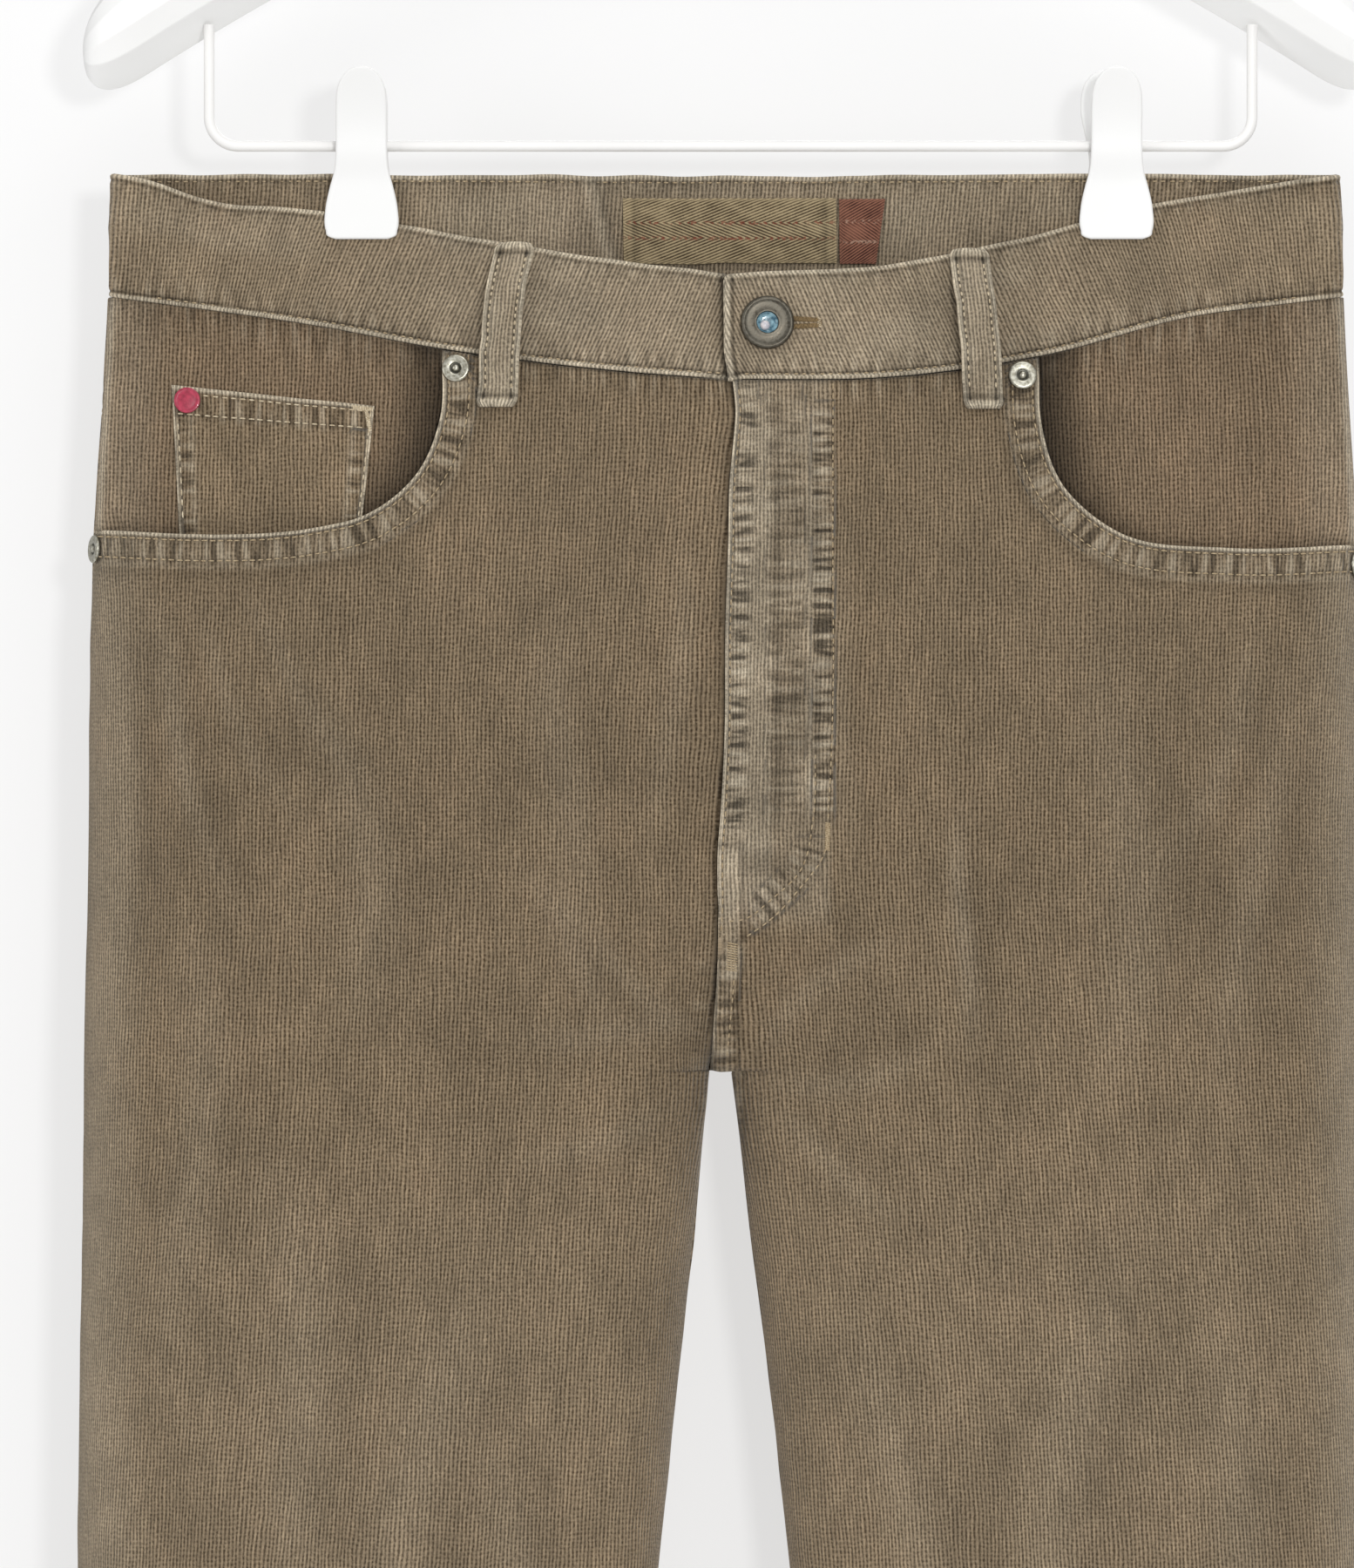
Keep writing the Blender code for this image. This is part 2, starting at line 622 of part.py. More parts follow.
def back_pocket(name, side, panel_face):
    over = np.linspace(-1, 1, 12)
    down = np.linspace(0, 1, 11)[:, None]
    x = side * (POCKET_X + over * (POCKET_HALF - POCKET_TAPER * down))
    top = yoke_seam(side * POCKET_X + side * over * POCKET_HALF) - POCKET_BELOW_YOKE
    z = top - down * (POCKET_TALL + POCKET_POINT * (1 - np.abs(over)))
    under = LAID + 0.2
    return wall(name, laid_on(panel_face, 1, x, z, under + CLOTH), laid_on(panel_face, 1, x, z, under))


def facing_of(face, x, z):
    """The direction that the cloth's surface faces."""
    return placed(face, x, z, 1.0) - placed(face, x, z, 0.0)


def rivet(name, x, z, radius, clear, panel_face):
    """A flat cap with a low rim and a nipple."""
    x, z = np.array(x), np.array(z)
    on_coin = "coin" in name
    centre = placed(-1, x, z, COIN_FACE) if on_coin else laid_on(panel_face, -1, x, z, clear)
    axis = facing_of(-1, x, z)
    profile = (
        (radius, SEAM + 0.1),
        (radius, SEAM + 0.9),
        (radius * 0.86, SEAM + 1.4),
        (radius * 0.36, SEAM + 1.2),
        (radius * 0.2, SEAM + 2.0),
    )
    return turned(name, profile, centre, axis, "red_enamel" if on_coin else "nickel", 16)


def button(name):
    """A cast ring with a hollow middle."""
    centre, axis = placed(-1, BUTTON_X, BUTTON_Z, BAND_PROUD), facing_of(-1, BUTTON_X, BUTTON_Z)
    r = BUTTON_RADIUS
    profile = (
        (r * 0.8, SEAM + 0.1),
        (r, SEAM + 1.0),
        (r * 0.98, SEAM + 2.0),
        (r * 0.86, SEAM + 2.9),
        (r * 0.42, SEAM + 3.0),
        (r * 0.36, SEAM + 2.6),
        (r * 0.34, SEAM + 1.4),
        (r * 0.16, SEAM + 1.6),
    )
    return turned(name, profile, centre, axis, "nickel", 24)


# --- Hanger


def ridge(x):
    """Height of the lower front edge of the arms at a distance from the hanger's middle."""
    x = np.sqrt(np.asarray(x, float) ** 2 + 144) - 12
    return ARM_RIDGE - ARM_SLOPE * x - ARM_CURVE * x * x


def hanger_arms(name):
    """Both arms and the neck in one moulding: upright sections, thicker and rounder at the tips."""
    section = np.array(ARM_SECTION)
    middle = section.mean(axis=0) * (0, 1)
    half = np.r_[np.linspace(0, 200, 12), 205, 210, 214.5, 218, 220.6, 222.2]
    rings = []
    for x in np.r_[-half[:0:-1], half]:
        thick = mix(ARM_THIN, ARM_THICK, step(abs(x), 20, 190))
        end = np.clip((abs(x) - (ARM_HALF - TIP_LONG)) / TIP_LONG, 0, 1)
        tip = (1 - end**2.4) ** (1 / 2.4)
        depth, height = (middle + (section - middle) * tip).T
        rings.append(np.stack([HANGER_X + x + 0 * depth, depth * thick, ridge(x) + height], axis=1))
    return loft(name, np.array(rings), "white_plastic")


def hanger_bar(name):
    """The wire that the clips slide on, bent up into the underside of the arms."""
    bend = np.linspace(0, pi / 2, 6)
    corner_x = BAR_HALF - BAR_BEND + BAR_BEND * np.sin(bend)
    corner_z = BAR_Z + BAR_BEND - BAR_BEND * np.cos(bend)
    top = ridge(BAR_HALF + BAR_RADIUS) + ARM_UNDER - 2 * SEAM
    half = np.c_[np.r_[0, corner_x, BAR_HALF], np.r_[BAR_Z, corner_z, top]]
    line = np.r_[half[:0:-1] * (-1, 1), half[1:]]
    points = np.stack([HANGER_X + line[:, 0], 0 * line[:, 0], line[:, 1]], axis=1)
    return rod(name, points, BAR_RADIUS, "white_wire")


def hanger_hook(name, foot):
    """A question mark of wire whose inner top is the part's origin."""
    centre = HOOK_TOP - HOOK_INNER
    r = HOOK_INNER + HOOK_RADIUS
    angle = np.linspace(-pi / 4, pi * 1.12, 22)
    arc = np.c_[r * np.cos(angle), centre + r * np.sin(angle)]
    start, end = np.array((0, foot + HOOK_STEM)), arc[0]
    u = np.linspace(0, 1, 7)[:-1, None]
    reach = end[1] - start[1]
    leave, meet = np.array((0, reach)), np.array((reach, reach)) / np.sqrt(2)
    bend = (1 + 2 * u) * (1 - u) ** 2 * start + u * (1 - u) ** 2 * leave
    bend = bend + u * u * (3 - 2 * u) * end + u * u * (u - 1) * meet
    line = np.r_[[(0, foot)], bend, arc]
    points = np.stack([HANGER_X + line[:, 0], 0 * line[:, 0], line[:, 1]], axis=1)
    return rod(name, points, HOOK_RADIUS, "white_wire")


def clip_profile(z):
    """Distance of a clip plate's inner face from the middle."""
    jaw = SEAM / 2 + PINCHED + BAND_PROUD + CLIP_GAP
    pivot = PIVOT_OUTER + CLIP_GAP
    rise = mix(jaw, pivot, step(z, -4, BAR_Z - 1))
    return rise + SPLAY * step(z, *SPLAY_HEIGHTS)


def clip(name, side):
    """Two flared plates on a sleeve that slides on the bar."""
    centre = side * CLIP_X[side]
    z, half = np.array(CLIP_OUTLINE, float).T
    x = centre + half[:, None] * np.linspace(-1, 1, 4)
    for part, face in (("front", -1), ("back", 1)):
        inner = np.stack([x, face * clip_profile(z)[:, None] + 0 * x, z[:, None] + 0 * x], axis=2)
        wall(f"{name}_{part}", inner + (0, face * CLIP_PLATE, 0), inner, "white_plastic")
    hole = BAR_RADIUS + CLIP_GAP
    profile = (
        (hole, -PIVOT_HALF), (PIVOT_OUTER, -PIVOT_HALF), (PIVOT_OUTER, PIVOT_HALF), (hole, PIVOT_HALF),
    )
    turned(f"{name}_pivot", profile, (centre, 0, BAR_Z), (1, 0, 0), "white_plastic", 16, closed=True)


def hanger():
    hanger_arms("hanger_arms")
    hanger_bar("hanger_bar")
    crown = float(ridge(0)) + ARM_CROWN + SEAM
    hanger_hook("hanger_hook", crown)
    hole, outer, tall = HOOK_RADIUS + SEAM, COLLAR_RADIUS, COLLAR_TALL
    profile = ((hole, 0), (outer, 0), (outer, tall - COLLAR_EDGE), (outer - COLLAR_EDGE, tall), (hole, tall))
    turned("hanger_collar", profile, (HANGER_X, 0, crown), (0, 0, 1), "white_plastic", 16, closed=True)
    clip("clip_right", -1)
    clip("clip_left", 1)


def trousers():
    for word, side in (("right", -1), ("left", 1)):
        front_face = front(f"front_{word}", side)
        back_face = back(f"back_{word}", side)
        yoke(f"yoke_{word}", side)
        facing(f"pocket_facing_{word}", side)
        front_band(f"waistband_{word}", side)
        back_pocket(f"back_pocket_{word}", side, back_face)
        for row in RIVETS:
            if row[1] * side > 0:
                rivet(*row, front_face)
    back_band("waistband_back")
    band_tape("neck_tape", -35.9, 38.3, -7.8, -30.3, "tape")
    band_tape("red_tape", 39.2, 53.5, -8.2, -30.6, "red_tape")
    coin_pocket("coin_pocket")
    for row in LOOPS:
        loop(*row)
    button("button")


for old in list(bpy.data.objects):
    bpy.data.objects.remove(old, do_unlink=True)
trousers()
hanger()
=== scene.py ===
"""Looks of the five-pocket needlecord trousers on their clip hanger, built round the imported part.

Lengths are millimetres in the garment's frame: the origin is the middle of the back waist's top edge, the front
faces -Y, and +X is the wearer's left, at the picture's right. to_world() moves points to the part's frame, in metres,
whose origin is the inner top of the hanger's hook.
"""

from math import cos, pi, radians, sin, tan

import bpy
import numpy as np
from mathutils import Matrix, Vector
from mathutils.bvhtree import BVHTree


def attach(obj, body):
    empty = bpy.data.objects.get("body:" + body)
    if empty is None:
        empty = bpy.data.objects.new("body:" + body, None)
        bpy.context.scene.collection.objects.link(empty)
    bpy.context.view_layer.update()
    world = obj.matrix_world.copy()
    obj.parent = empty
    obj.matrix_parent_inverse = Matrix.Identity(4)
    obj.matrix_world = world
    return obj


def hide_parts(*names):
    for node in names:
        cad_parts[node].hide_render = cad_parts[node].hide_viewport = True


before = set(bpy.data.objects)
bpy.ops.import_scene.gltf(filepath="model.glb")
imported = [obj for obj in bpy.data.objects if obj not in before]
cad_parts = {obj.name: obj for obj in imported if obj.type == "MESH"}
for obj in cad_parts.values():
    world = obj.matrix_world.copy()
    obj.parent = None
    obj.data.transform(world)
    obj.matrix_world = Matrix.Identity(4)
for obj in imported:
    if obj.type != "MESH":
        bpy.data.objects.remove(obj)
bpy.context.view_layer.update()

MM = 0.001

# --- The garment's sizes, as in the part

HOOK_TOP, HANGER_X = 225.0, 1.65
SEAM, LAID, CLOTH = 0.3, 0.5, 1.5
BAND_PROUD, BAND_DEEP = 0.6, 2.0
HEM_PROUD, FLY_PROUD = 0.9, 0.7
FACING_SUNK = 1.5
TAPE = 0.8
LOOP_THICK, LOOP_HALF, LOOP_STAND = 1.9, 6.9, 6.7

CROTCH, HEM, HEM_TURN = -308.0, -1095.0, 22.0
PANEL_EVEN, FORK, THIGH = -160.0, 60.0, -368.0
SQUARENESS = 2.7
PINCH_END, FULL_DEPTH = -24.0, -190.0
CLIP_X = {-1: 125.1, 1: 134.1}
CLIP_FLAT, PINCHED, WAIST_OPEN, SIDE_FOLD, SIDE_OPEN = 13.5, 2.0, 12.5, 5.5, 198.0

# (height, half width of the garment)
OUTER = (
    (0, 210.6), (-60, 213.2), (-132, 217.4), (-240, 219.2), (-401, 221.6), (-560, 223.0), (-850, 222.0),
    (-1095, 221.0),
)
# (height, distance of a leg's inner edge from the centre)
INNER = (
    (-308, 3.9), (-365, 9.9), (-401, 14.2), (-478, 22.6), (-560, 30.5), (-680, 41.0), (-850, 52.0), (-1095, 60.0),
)
# (height, front half depth, back half depth)
DEPTH = (
    (0, 31, 35), (-190, 36, 43), (-308, 38, 41), (-480, 35, 36), (-680, 30, 31), (-850, 26, 27), (-1095, 23, 23),
)
# (height, how far the centre seam strays from the middle)
LEAN = ((0, 0), (-71, 0.6), (-232, -3.3), (-308, -1.8), (-478, -0.4), (-1095, 0))

# (height, how far the front's centre seam strays, which ends at one side of the crotch's notch)
FRONT_SEAM = (
    (-71, 2.0), (-82, 3.0), (-93, 2.2), (-106, 1.0), (-126, 0.5), (-157, -0.5), (-193, -0.8), (-219, -2.1),
    (-232, -3.1), (-256, -3.1), (-275, -3.7), (-292, -4.9), (-307, -5.7),
)
SEAM_TUCK, TUCK_FROM, TUCK_DEEP = 1.8, 1.5, 2.4  # how far the right panels run on under the left ones, and from where
RED_TAPE_SLANT = 3.4  # how much longer the red tape is at its top
NOTCH = 0.06  # height over which the legs part at the crotch

# (distance from the centre, height), for the wearer's right (-1) and left (1)
BAND_TOP = {
    -1: ((0, -34.7), (41, -29.6), (86, -22.2), (138, -12.9), (179, -8.5), (200, -2), (211, 0)),
    1: ((0, -34.7), (58, -30.8), (101, -22.2), (147, -10.2), (191, -3), (211, 0)),
}
BAND_SEAM = {
    -1: ((0, -71), (41, -67.6), (99, -59.9), (141, -52.1), (190, -45.2), (213, -42.2)),
    1: ((0, -71), (55, -70.0), (110, -62.0), (161, -48.8), (191, -44.9), (213, -42.2)),
}
BACK_SEAM_CENTRE, BACK_SEAM_SIDE = -40.0, -42.2
YOKE_CENTRE, YOKE_SIDE = -118.0, -82.0
UNDERLAP, UNDERLAP_SHORT, LAP_EDGE, LAP_RAMP = 34.0, 1.0, 0.6, (-14.0, -2.0)
FLY_EDGE, FLY_FOOT = (40.0, 33.0), (-262.0, -240.0)
MOUTH = {
    -1: ((216, -122.4), (167, -124), (142, -122), (122, -116.7), (106, -103), (98.5, -84), (98, -62)),
    1: ((216, -127.5), (173, -128.7), (134, -123), (114, -105), (107.8, -86), (107, -65)),
}
FACING_IN, FACING_BELOW, FACING_RAMP, FACING_CLEAR = 9.0, 13.0, 15.0, 0.9
COIN = ((-190.5, -72.3), (-121.0, -79.3), (-187.3, -126.2), (-124.9, -122.6))  # its foot is under the mouth's edge
COIN_FACE = -FACING_SUNK - SEAM
POCKET_X, POCKET_BELOW_YOKE = 99.0, 21.0
POCKET_HALF, POCKET_TAPER, POCKET_TALL, POCKET_POINT = 69.0, 7.0, 128.0, 18.0

# Name, face, x at the top, x at the bottom, top height, bottom height
LOOPS = (
    ("loop_front_right", -1, -72.6, -79.3, -23.4, -80.8),
    ("loop_front_left", -1, 82.8, 88.0, -25.6, -81.4),
    ("loop_back_right", 1, -166.0, -166.0, -0.5, -56.0),
    ("loop_centre_back", 1, 0.0, 0.0, -0.5, -56.0),
    ("loop_back_left", 1, 166.0, 166.0, -0.5, -56.0),
)
# Name, x, height, radius, clearance over the cloth's bend
RIVETS = (
    ("rivet_waist_right", -93.1, -67.2, 4.8, 0.0),
    ("rivet_waist_left", 101.2, -69.6, 4.9, 0.0),
    ("rivet_side_right", -216.4, -129.0, 4.8, 0.5),
    ("rivet_side_left", 216.4, -134.5, 4.8, 0.5),
    ("rivet_coin", -185.0, -77.8, 4.5, 0.0),
)
# (share of the radius, height)
COIN_CAP = (
    (0.92, 0.1), (0.98, 0.5), (1, 0.9), (0.97, 1.22), (0.9, 1.38), (0.8, 1.3), (0.72, 1.26), (0.6, 1.34), (0.3, 1.42),
    (0.02, 1.45),
)
BUTTON_X, BUTTON_Z, BUTTON_RADIUS = 13.5, -51.8, 9.25
# Face, x and height at each end, half width, depth inwards
FOLDS = (
    (-1, -62, -180, -74, -330, 17, 1.6), (-1, 84, -200, 96, -360, 19, 1.8),
    (-1, -30, -330, -128, -420, 20, 1.8), (-1, 32, -332, 132, -430, 20, 1.8),
    (-1, -150, -560, -78, -690, 28, 2.4), (-1, 92, -590, 166, -720, 28, 2.4),
    (1, -120, -90, -60, -300, 27, 1.8), (1, 128, -90, 66, -310, 27, 1.8),
    (1, -28, -345, -170, -400, 17, 3.6), (1, 30, -350, 176, -410, 17, 3.6),
    (1, -60, -640, -185, -720, 24, 3.2), (1, 62, -650, 186, -735, 24, 3.2),
    (1, -185, -430, -150, -600, 24, 2.4), (1, 183, -440, 150, -610, 24, 2.4),
)

# Face, x and height at each end, half width, depth: shallower creases that only the cloth's surface has
CREASES = (
    (-1, -207, -148, -196, -300, 7, 1.1), (-1, -200, -140, -172, -240, 5, -0.8), (-1, -192, -146, -158, -262, 5, 0.9),
    (-1, -180, -146, -138, -222, 5, 0.6), (-1, -168, -146, -120, -205, 5, -0.5), (-1, -188, -250, -182, -420, 12, -1.0),
    (-1, -6, -300, -58, -258, 6, 0.9), (-1, -8, -306, -76, -296, 7, 0.8), (-1, -12, -318, -62, -352, 7, 0.8),
    (-1, -30, -286, -74, -240, 8, -0.7), (-1, -12, -120, -11, -236, 6, 0.7), (-1, -46, -150, -58, -262, 11, -0.6),
    (-1, -150, -330, -118, -520, 14, 1.0), (-1, -92, -372, -108, -560, 15, -1.0), (-1, -184, -430, -176, -650, 12, 0.9),
    (-1, -120, -170, -112, -300, 13, 0.6), (-1, -64, -420, -52, -600, 11, 0.8), (-1, -140, -760, -96, -840, 15, 1.0),
    (-1, 6, -300, 58, -254, 6, 0.9), (-1, 9, -306, 76, -292, 7, 0.8), (-1, 14, -318, 70, -348, 7, 0.8),
    (-1, 54, -110, 46, -252, 7, 0.7), (-1, 86, -214, 80, -300, 5, -0.8), (-1, 92, -216, 86, -310, 5, 0.8),
    (-1, 150, -160, 140, -330, 14, 0.7), (-1, 196, -160, 186, -330, 9, 0.9), (-1, 182, -150, 150, -250, 7, -0.7),
    (-1, 62, -384, 76, -560, 12, 0.9), (-1, 128, -360, 118, -560, 15, -1.0), (-1, 182, -380, 172, -620, 12, 0.9),
    (-1, 90, -800, 150, -880, 15, 1.0), (-1, 150, -900, 120, -1010, 14, -0.9), (-1, -120, -930, -150, -1030, 14, -0.9),
    (1, -8, -296, -70, -262, 8, 1.2), (1, -10, -306, -92, -318, 9, 1.2), (1, -14, -322, -84, -372, 9, 1.1),
    (1, 8, -296, 72, -258, 8, 1.2), (1, 10, -306, 94, -314, 9, 1.2), (1, 14, -322, 84, -368, 9, 1.1),
    (1, -196, -200, -170, -330, 9, 0.9), (1, 198, -190, 172, -330, 9, 0.9), (1, -130, -480, -60, -520, 10, 1.1),
    (1, 126, -486, 62, -528, 10, 1.1), (1, -150, -560, -70, -588, 10, 1.1), (1, 152, -570, 72, -600, 10, 1.1),
    (1, -120, -800, -128, -1000, 15, -1.0), (1, 118, -790, 132, -990, 15, -1.0), (1, -40, -60, -58, -115, 9, 0.6),
)

BAR_RADIUS, BAR_Z, BAR_HALF, BAR_BEND = 1.85, 9.6, 179.2, 10.0
ARM_RIDGE, ARM_SLOPE, ARM_CURVE, ARM_HALF = 133.7, 0.30, 0.0009, 222.6
ARM_SECTION = (
    (-8, 0), (8, -10), (12, -5), (13, 6), (12, 18), (7, 27), (0, 30), (-7, 27), (-11.5, 19), (-12.5, 9),
)
ARM_CROWN, ARM_UNDER, ARM_THIN, ARM_THICK, TIP_LONG = 30.0, -5.0, 0.62, 1.15, 22.6
HOOK_RADIUS, HOOK_INNER, HOOK_STEM = 2.25, 18.0, 12.0
COLLAR_RADIUS, COLLAR_TALL = 6.0, 8.5
CLIP_TOP, CLIP_PLATE, CLIP_GAP, SPLAY, SPLAY_HEIGHTS = 36.5, 2.4, 0.3, 8.5, (10.6, 52.5)
CLIP_OUTLINE = (
    (-22.5, 9.4), (-21.6, 11.4), (-19.5, 12.3), (-12, 12.4), (-5, 11.0), (1, 9.4), (6, 8.9),
    (9.6, 8.8), (15, 8.75), (24, 8.7), (29, 8.2), (33, 6.4), (35.6, 3.6), (CLIP_TOP, 1.2),
)
CLIP_ROUND = 0.9  # radius of the clips' edges
CLIP_SKEW = {-1: 0.0, 1: -3.2}  # the left clip's back plate has slipped sideways at its handle
PIVOT_OUTER, PIVOT_HALF = 4.4, 6.5

# --- Sizes of the visible detail

WALE = 1.36  # from one rib of the cord to the next
WEFT = 1.53  # from one thread across the ribs to the next
EDGE_ROUND = 0.7  # radius of a cloth edge
INSET = 12.0  # how far the panels' fine rows run in from their top edge
FINE_ROWS = (0, 1.0, 1.7, 2.3, 2.9, 3.8, 5.2, 6.8, 8.2, 9.1, 10, 11, INSET)
STITCH_LONG, STITCH_PITCH, STITCH_RADIUS = 2.1, 2.9, 0.27
MOUTH_ROWS = (2.3, 9.2)  # rows of stitches, from the pocket's edge
COIN_ROWS = (2.2, 8.0)
LOOP_ROW = 4.6  # the loop's rows of stitches, from its middle
BAND_ROW = 1.7  # the waistband's row, from its edges
LAP_END, LAP_ROUND = -1.4, 2.6  # where the left waistband ends, and the radius of its corner
FLY_OUTER = (
    (36.6, -72), (36.4, -130), (36.2, -185), (34.9, -215), (32.8, -234.7), (25.3, -244.8), (15.2, -255.7),
    (5.1, -262.8),
)
FLY_INNER = ((30.3, -120), (30.3, -199), (29.5, -222), (25.3, -239), (15.2, -249), (6.0, -255.7), (-1.0, -256.5))


# --- Small mathematics


def smooth(rows, at, column=1):
    """The value of a table's column at a position, on a smooth curve through its rows."""
    table = np.array(rows, float)
    table = table[np.argsort(table[:, 0])]
    x, y = table[:, 0], table[:, column]
    slope = np.gradient(y, x)
    at = np.asarray(at, float)
    i = np.clip(np.searchsorted(x, at) - 1, 0, len(x) - 2)
    wide = x[i + 1] - x[i]
    u = np.clip((at - x[i]) / wide, 0, 1)
    low = (1 + 2 * u) * (1 - u) ** 2 * y[i] + u * (1 - u) ** 2 * wide * slope[i]
    high = u * u * (3 - 2 * u) * y[i + 1] + u * u * (u - 1) * wide * slope[i + 1]
    return low + high


def step(value, start, end):
    """0 before start, 1 after end, and smooth between them."""
    u = np.clip((np.asarray(value, float) - start) / (end - start), 0, 1)
    return u * u * (3 - 2 * u)


def mix(a, b, share):
    return a + (b - a) * share


def bell(value, middle, half):
    """1 in the middle, and gone beyond about twice the half width."""
    return np.exp(-(((np.asarray(value, float) - middle) / half) ** 2))


def root(base, power):
    return np.sign(base) * np.abs(base) ** power


def noise(seed, x, z, wide, tall):
    """Smooth noise from -1 to 1, in bumps of that width and height."""
    grid = np.random.default_rng(seed).uniform(-1, 1, (64, 64))
    x, z = np.broadcast_arrays(np.asarray(x, float) / wide, np.asarray(z, float) / tall)
    i, j = np.floor(x).astype(int), np.floor(z).astype(int)
    u, v = step(x - i, 0, 1), step(z - j, 0, 1)
    low, high = (mix(grid[i % 64, (j + k) % 64], grid[(i + 1) % 64, (j + k) % 64], u) for k in (0, 1))
    return mix(low, high, v)


def along(points, count, crowd=1.0):
    """Points on a smooth curve through the given ones, closer at its start if crowd is over 1."""
    points = np.array(points, float)
    run = np.r_[0, np.cumsum(np.hypot(*np.diff(points, axis=0).T))]
    at = np.linspace(0, 1, count) ** crowd * run[-1]
    return np.stack([smooth(np.c_[run, points[:, k]], at) for k in (0, 1)], axis=1)


def beside(route, off):
    """A route moved sideways, to the left of its run."""
    run = np.gradient(route, axis=0)
    return route + off * np.c_[-run[:, 1], run[:, 0]] / np.hypot(*run.T)[:, None]


def near(route, x, z):
    """How far points are from a route, and how far along it."""
    x, z = np.broadcast_arrays(np.asarray(x, float), np.asarray(z, float))
    best, place, start = np.full(x.shape, 1e9), np.zeros(x.shape), 0.0
    for (x0, z0), (x1, z1) in zip(route[:-1], route[1:]):
        long = np.hypot(x1 - x0, z1 - z0)
        share = np.clip(((x - x0) * (x1 - x0) + (z - z0) * (z1 - z0)) / long**2, 0, 1)
        off = np.hypot(x - mix(x0, x1, share), z - mix(z0, z1, share))
        place = np.where(off < best, start + share * long, place)
        best = np.minimum(best, off)
        start += long
    return best, place


# --- The body's form, as in the part: t runs from 0 at the side seam to 1 at the centre seam or the inseam


def inner_edge(z):
    above = mix(SEAM / 2, INNER[0][1], 1 - np.clip((z - CROTCH) / NOTCH, 0, 1))
    return np.where(z >= CROTCH, above, smooth(INNER, z))


def half_section(z):
    outer = smooth(OUTER, z)
    rising = mix(INNER[0][1], SEAM / 2, np.clip((z - CROTCH) / FORK, 0, 1))
    inner = np.where(z >= CROTCH, rising, smooth(INNER, z))
    return (outer + inner) / 2, (outer - inner) / 2


def across(t, z):
    middle, half = half_section(z)
    inner = middle - half
    x = middle + half * root(np.cos(pi * t), 2 / SQUARENESS)
    return x - (inner - inner_edge(z)) * step(t, 0.85, 1)


def t_of(x, z):
    middle, half = half_section(z)
    return np.arccos(root(np.clip((np.abs(x) - middle) / half, -1, 1), SQUARENESS / 2)) / pi


def waist_depth(side, x, z):
    clip, outer = CLIP_X[side], smooth(OUTER, z)
    inside, outside = clip - CLIP_FLAT, clip + CLIP_FLAT
    middle = (WAIST_OPEN - PINCHED) * np.cos(pi / 2 * np.clip(x / inside, 0, 1)) ** 2
    opened = np.clip((x - outside) / (SIDE_OPEN - outside), 0, 1)
    end = (SIDE_FOLD - PINCHED) * np.sin(pi / 2 * opened) ** 2
    fold = np.sqrt(1 - np.clip((x - outer) / SIDE_FOLD + 1, 0, 1) ** 2)
    return (PINCHED + middle + end) * fold


def fold_depth(face, x, z):
    total = np.zeros(np.broadcast(x, z).shape)
    for of_face, x0, z0, x1, z1, half, deep in FOLDS:
        if of_face != face:
            continue
        run = np.array([x1 - x0, z1 - z0], float)
        share = ((x - x0) * run[0] + (z - z0) * run[1]) / (run @ run)
        off = ((x - x0) * run[1] - (z - z0) * run[0]) / np.hypot(*run)
        ends = step(share, -0.15, 0.3) * step(share, 1.15, 0.7)
        total = total + deep * ends * np.exp(-((off / half) ** 2))
    return total


def body(side, face, t, z):
    t, z = np.broadcast_arrays(np.asarray(t, float), np.asarray(z, float))
    x = across(t, z)
    outer = smooth(OUTER, z)
    deep = smooth(DEPTH, z, 1 if face < 0 else 2)
    leg = np.sin(pi * np.clip(t, 0, 1)) ** (2 / SQUARENESS)
    hip = np.clip(1 - (x / outer) ** SQUARENESS, 0, 1) ** (1 / SQUARENESS)
    up = np.clip((z - CROTCH) / FORK, 0, 1)
    under = mix(step(up, 0, 1), np.sqrt(1 - (1 - up) ** 2), step(t, 0.7, 1))
    round_ = mix(leg, hip, under)
    y = deep * round_ - fold_depth(face, side * x, z) * step(round_, 0.5, 0.95)
    pinch = step(z, FULL_DEPTH, PINCH_END)
    y = mix(y, waist_depth(side, x, z), pinch)
    lean = smooth(LEAN, z) * (1 - (x / outer) ** 2)
    if face < 0:
        stray = (smooth(FRONT_SEAM, z) - smooth(LEAN, z)) * step(z, -60, -71) * np.clip((z - CROTCH) / NOTCH, 0, 1)
        lean = lean + stray * step(x, 18, 0)
    return np.stack([side * x + lean, face * (SEAM / 2 + y), z + 0 * x], axis=-1)


def lifted(side, face, t, z, out):
    """Points moved out of the panels' face along its normal."""
    t, z = np.broadcast_arrays(np.asarray(t, float), np.asarray(z, float))
    dt, dz = np.where(t > 0.5, -1e-3, 1e-3), 0.5
    here = body(side, face, t, z)
    over = (body(side, face, t + dt, z) - here) * np.sign(dt)[..., None]
    up = body(side, face, t, z + dz) - body(side, face, t, z - dz)
    normal = np.cross(over, up)
    normal *= side * face / np.linalg.norm(normal, axis=-1, keepdims=True)
    return here + normal * np.asarray(out, float)[..., None]


def placed(face, x, z, out):
    """A lifted point given by its x in the picture, above the crotch's curve."""
    x, z, out = np.broadcast_arrays(*(np.asarray(value, float) for value in (x, z, out)))
    found = np.empty(x.shape + (3,))
    for side in (-1, 1):
        here = (x >= 0) == (side > 0)
        found[here] = lifted(side, face, t_of(x[here], z[here]), z[here], out[here])
    return found


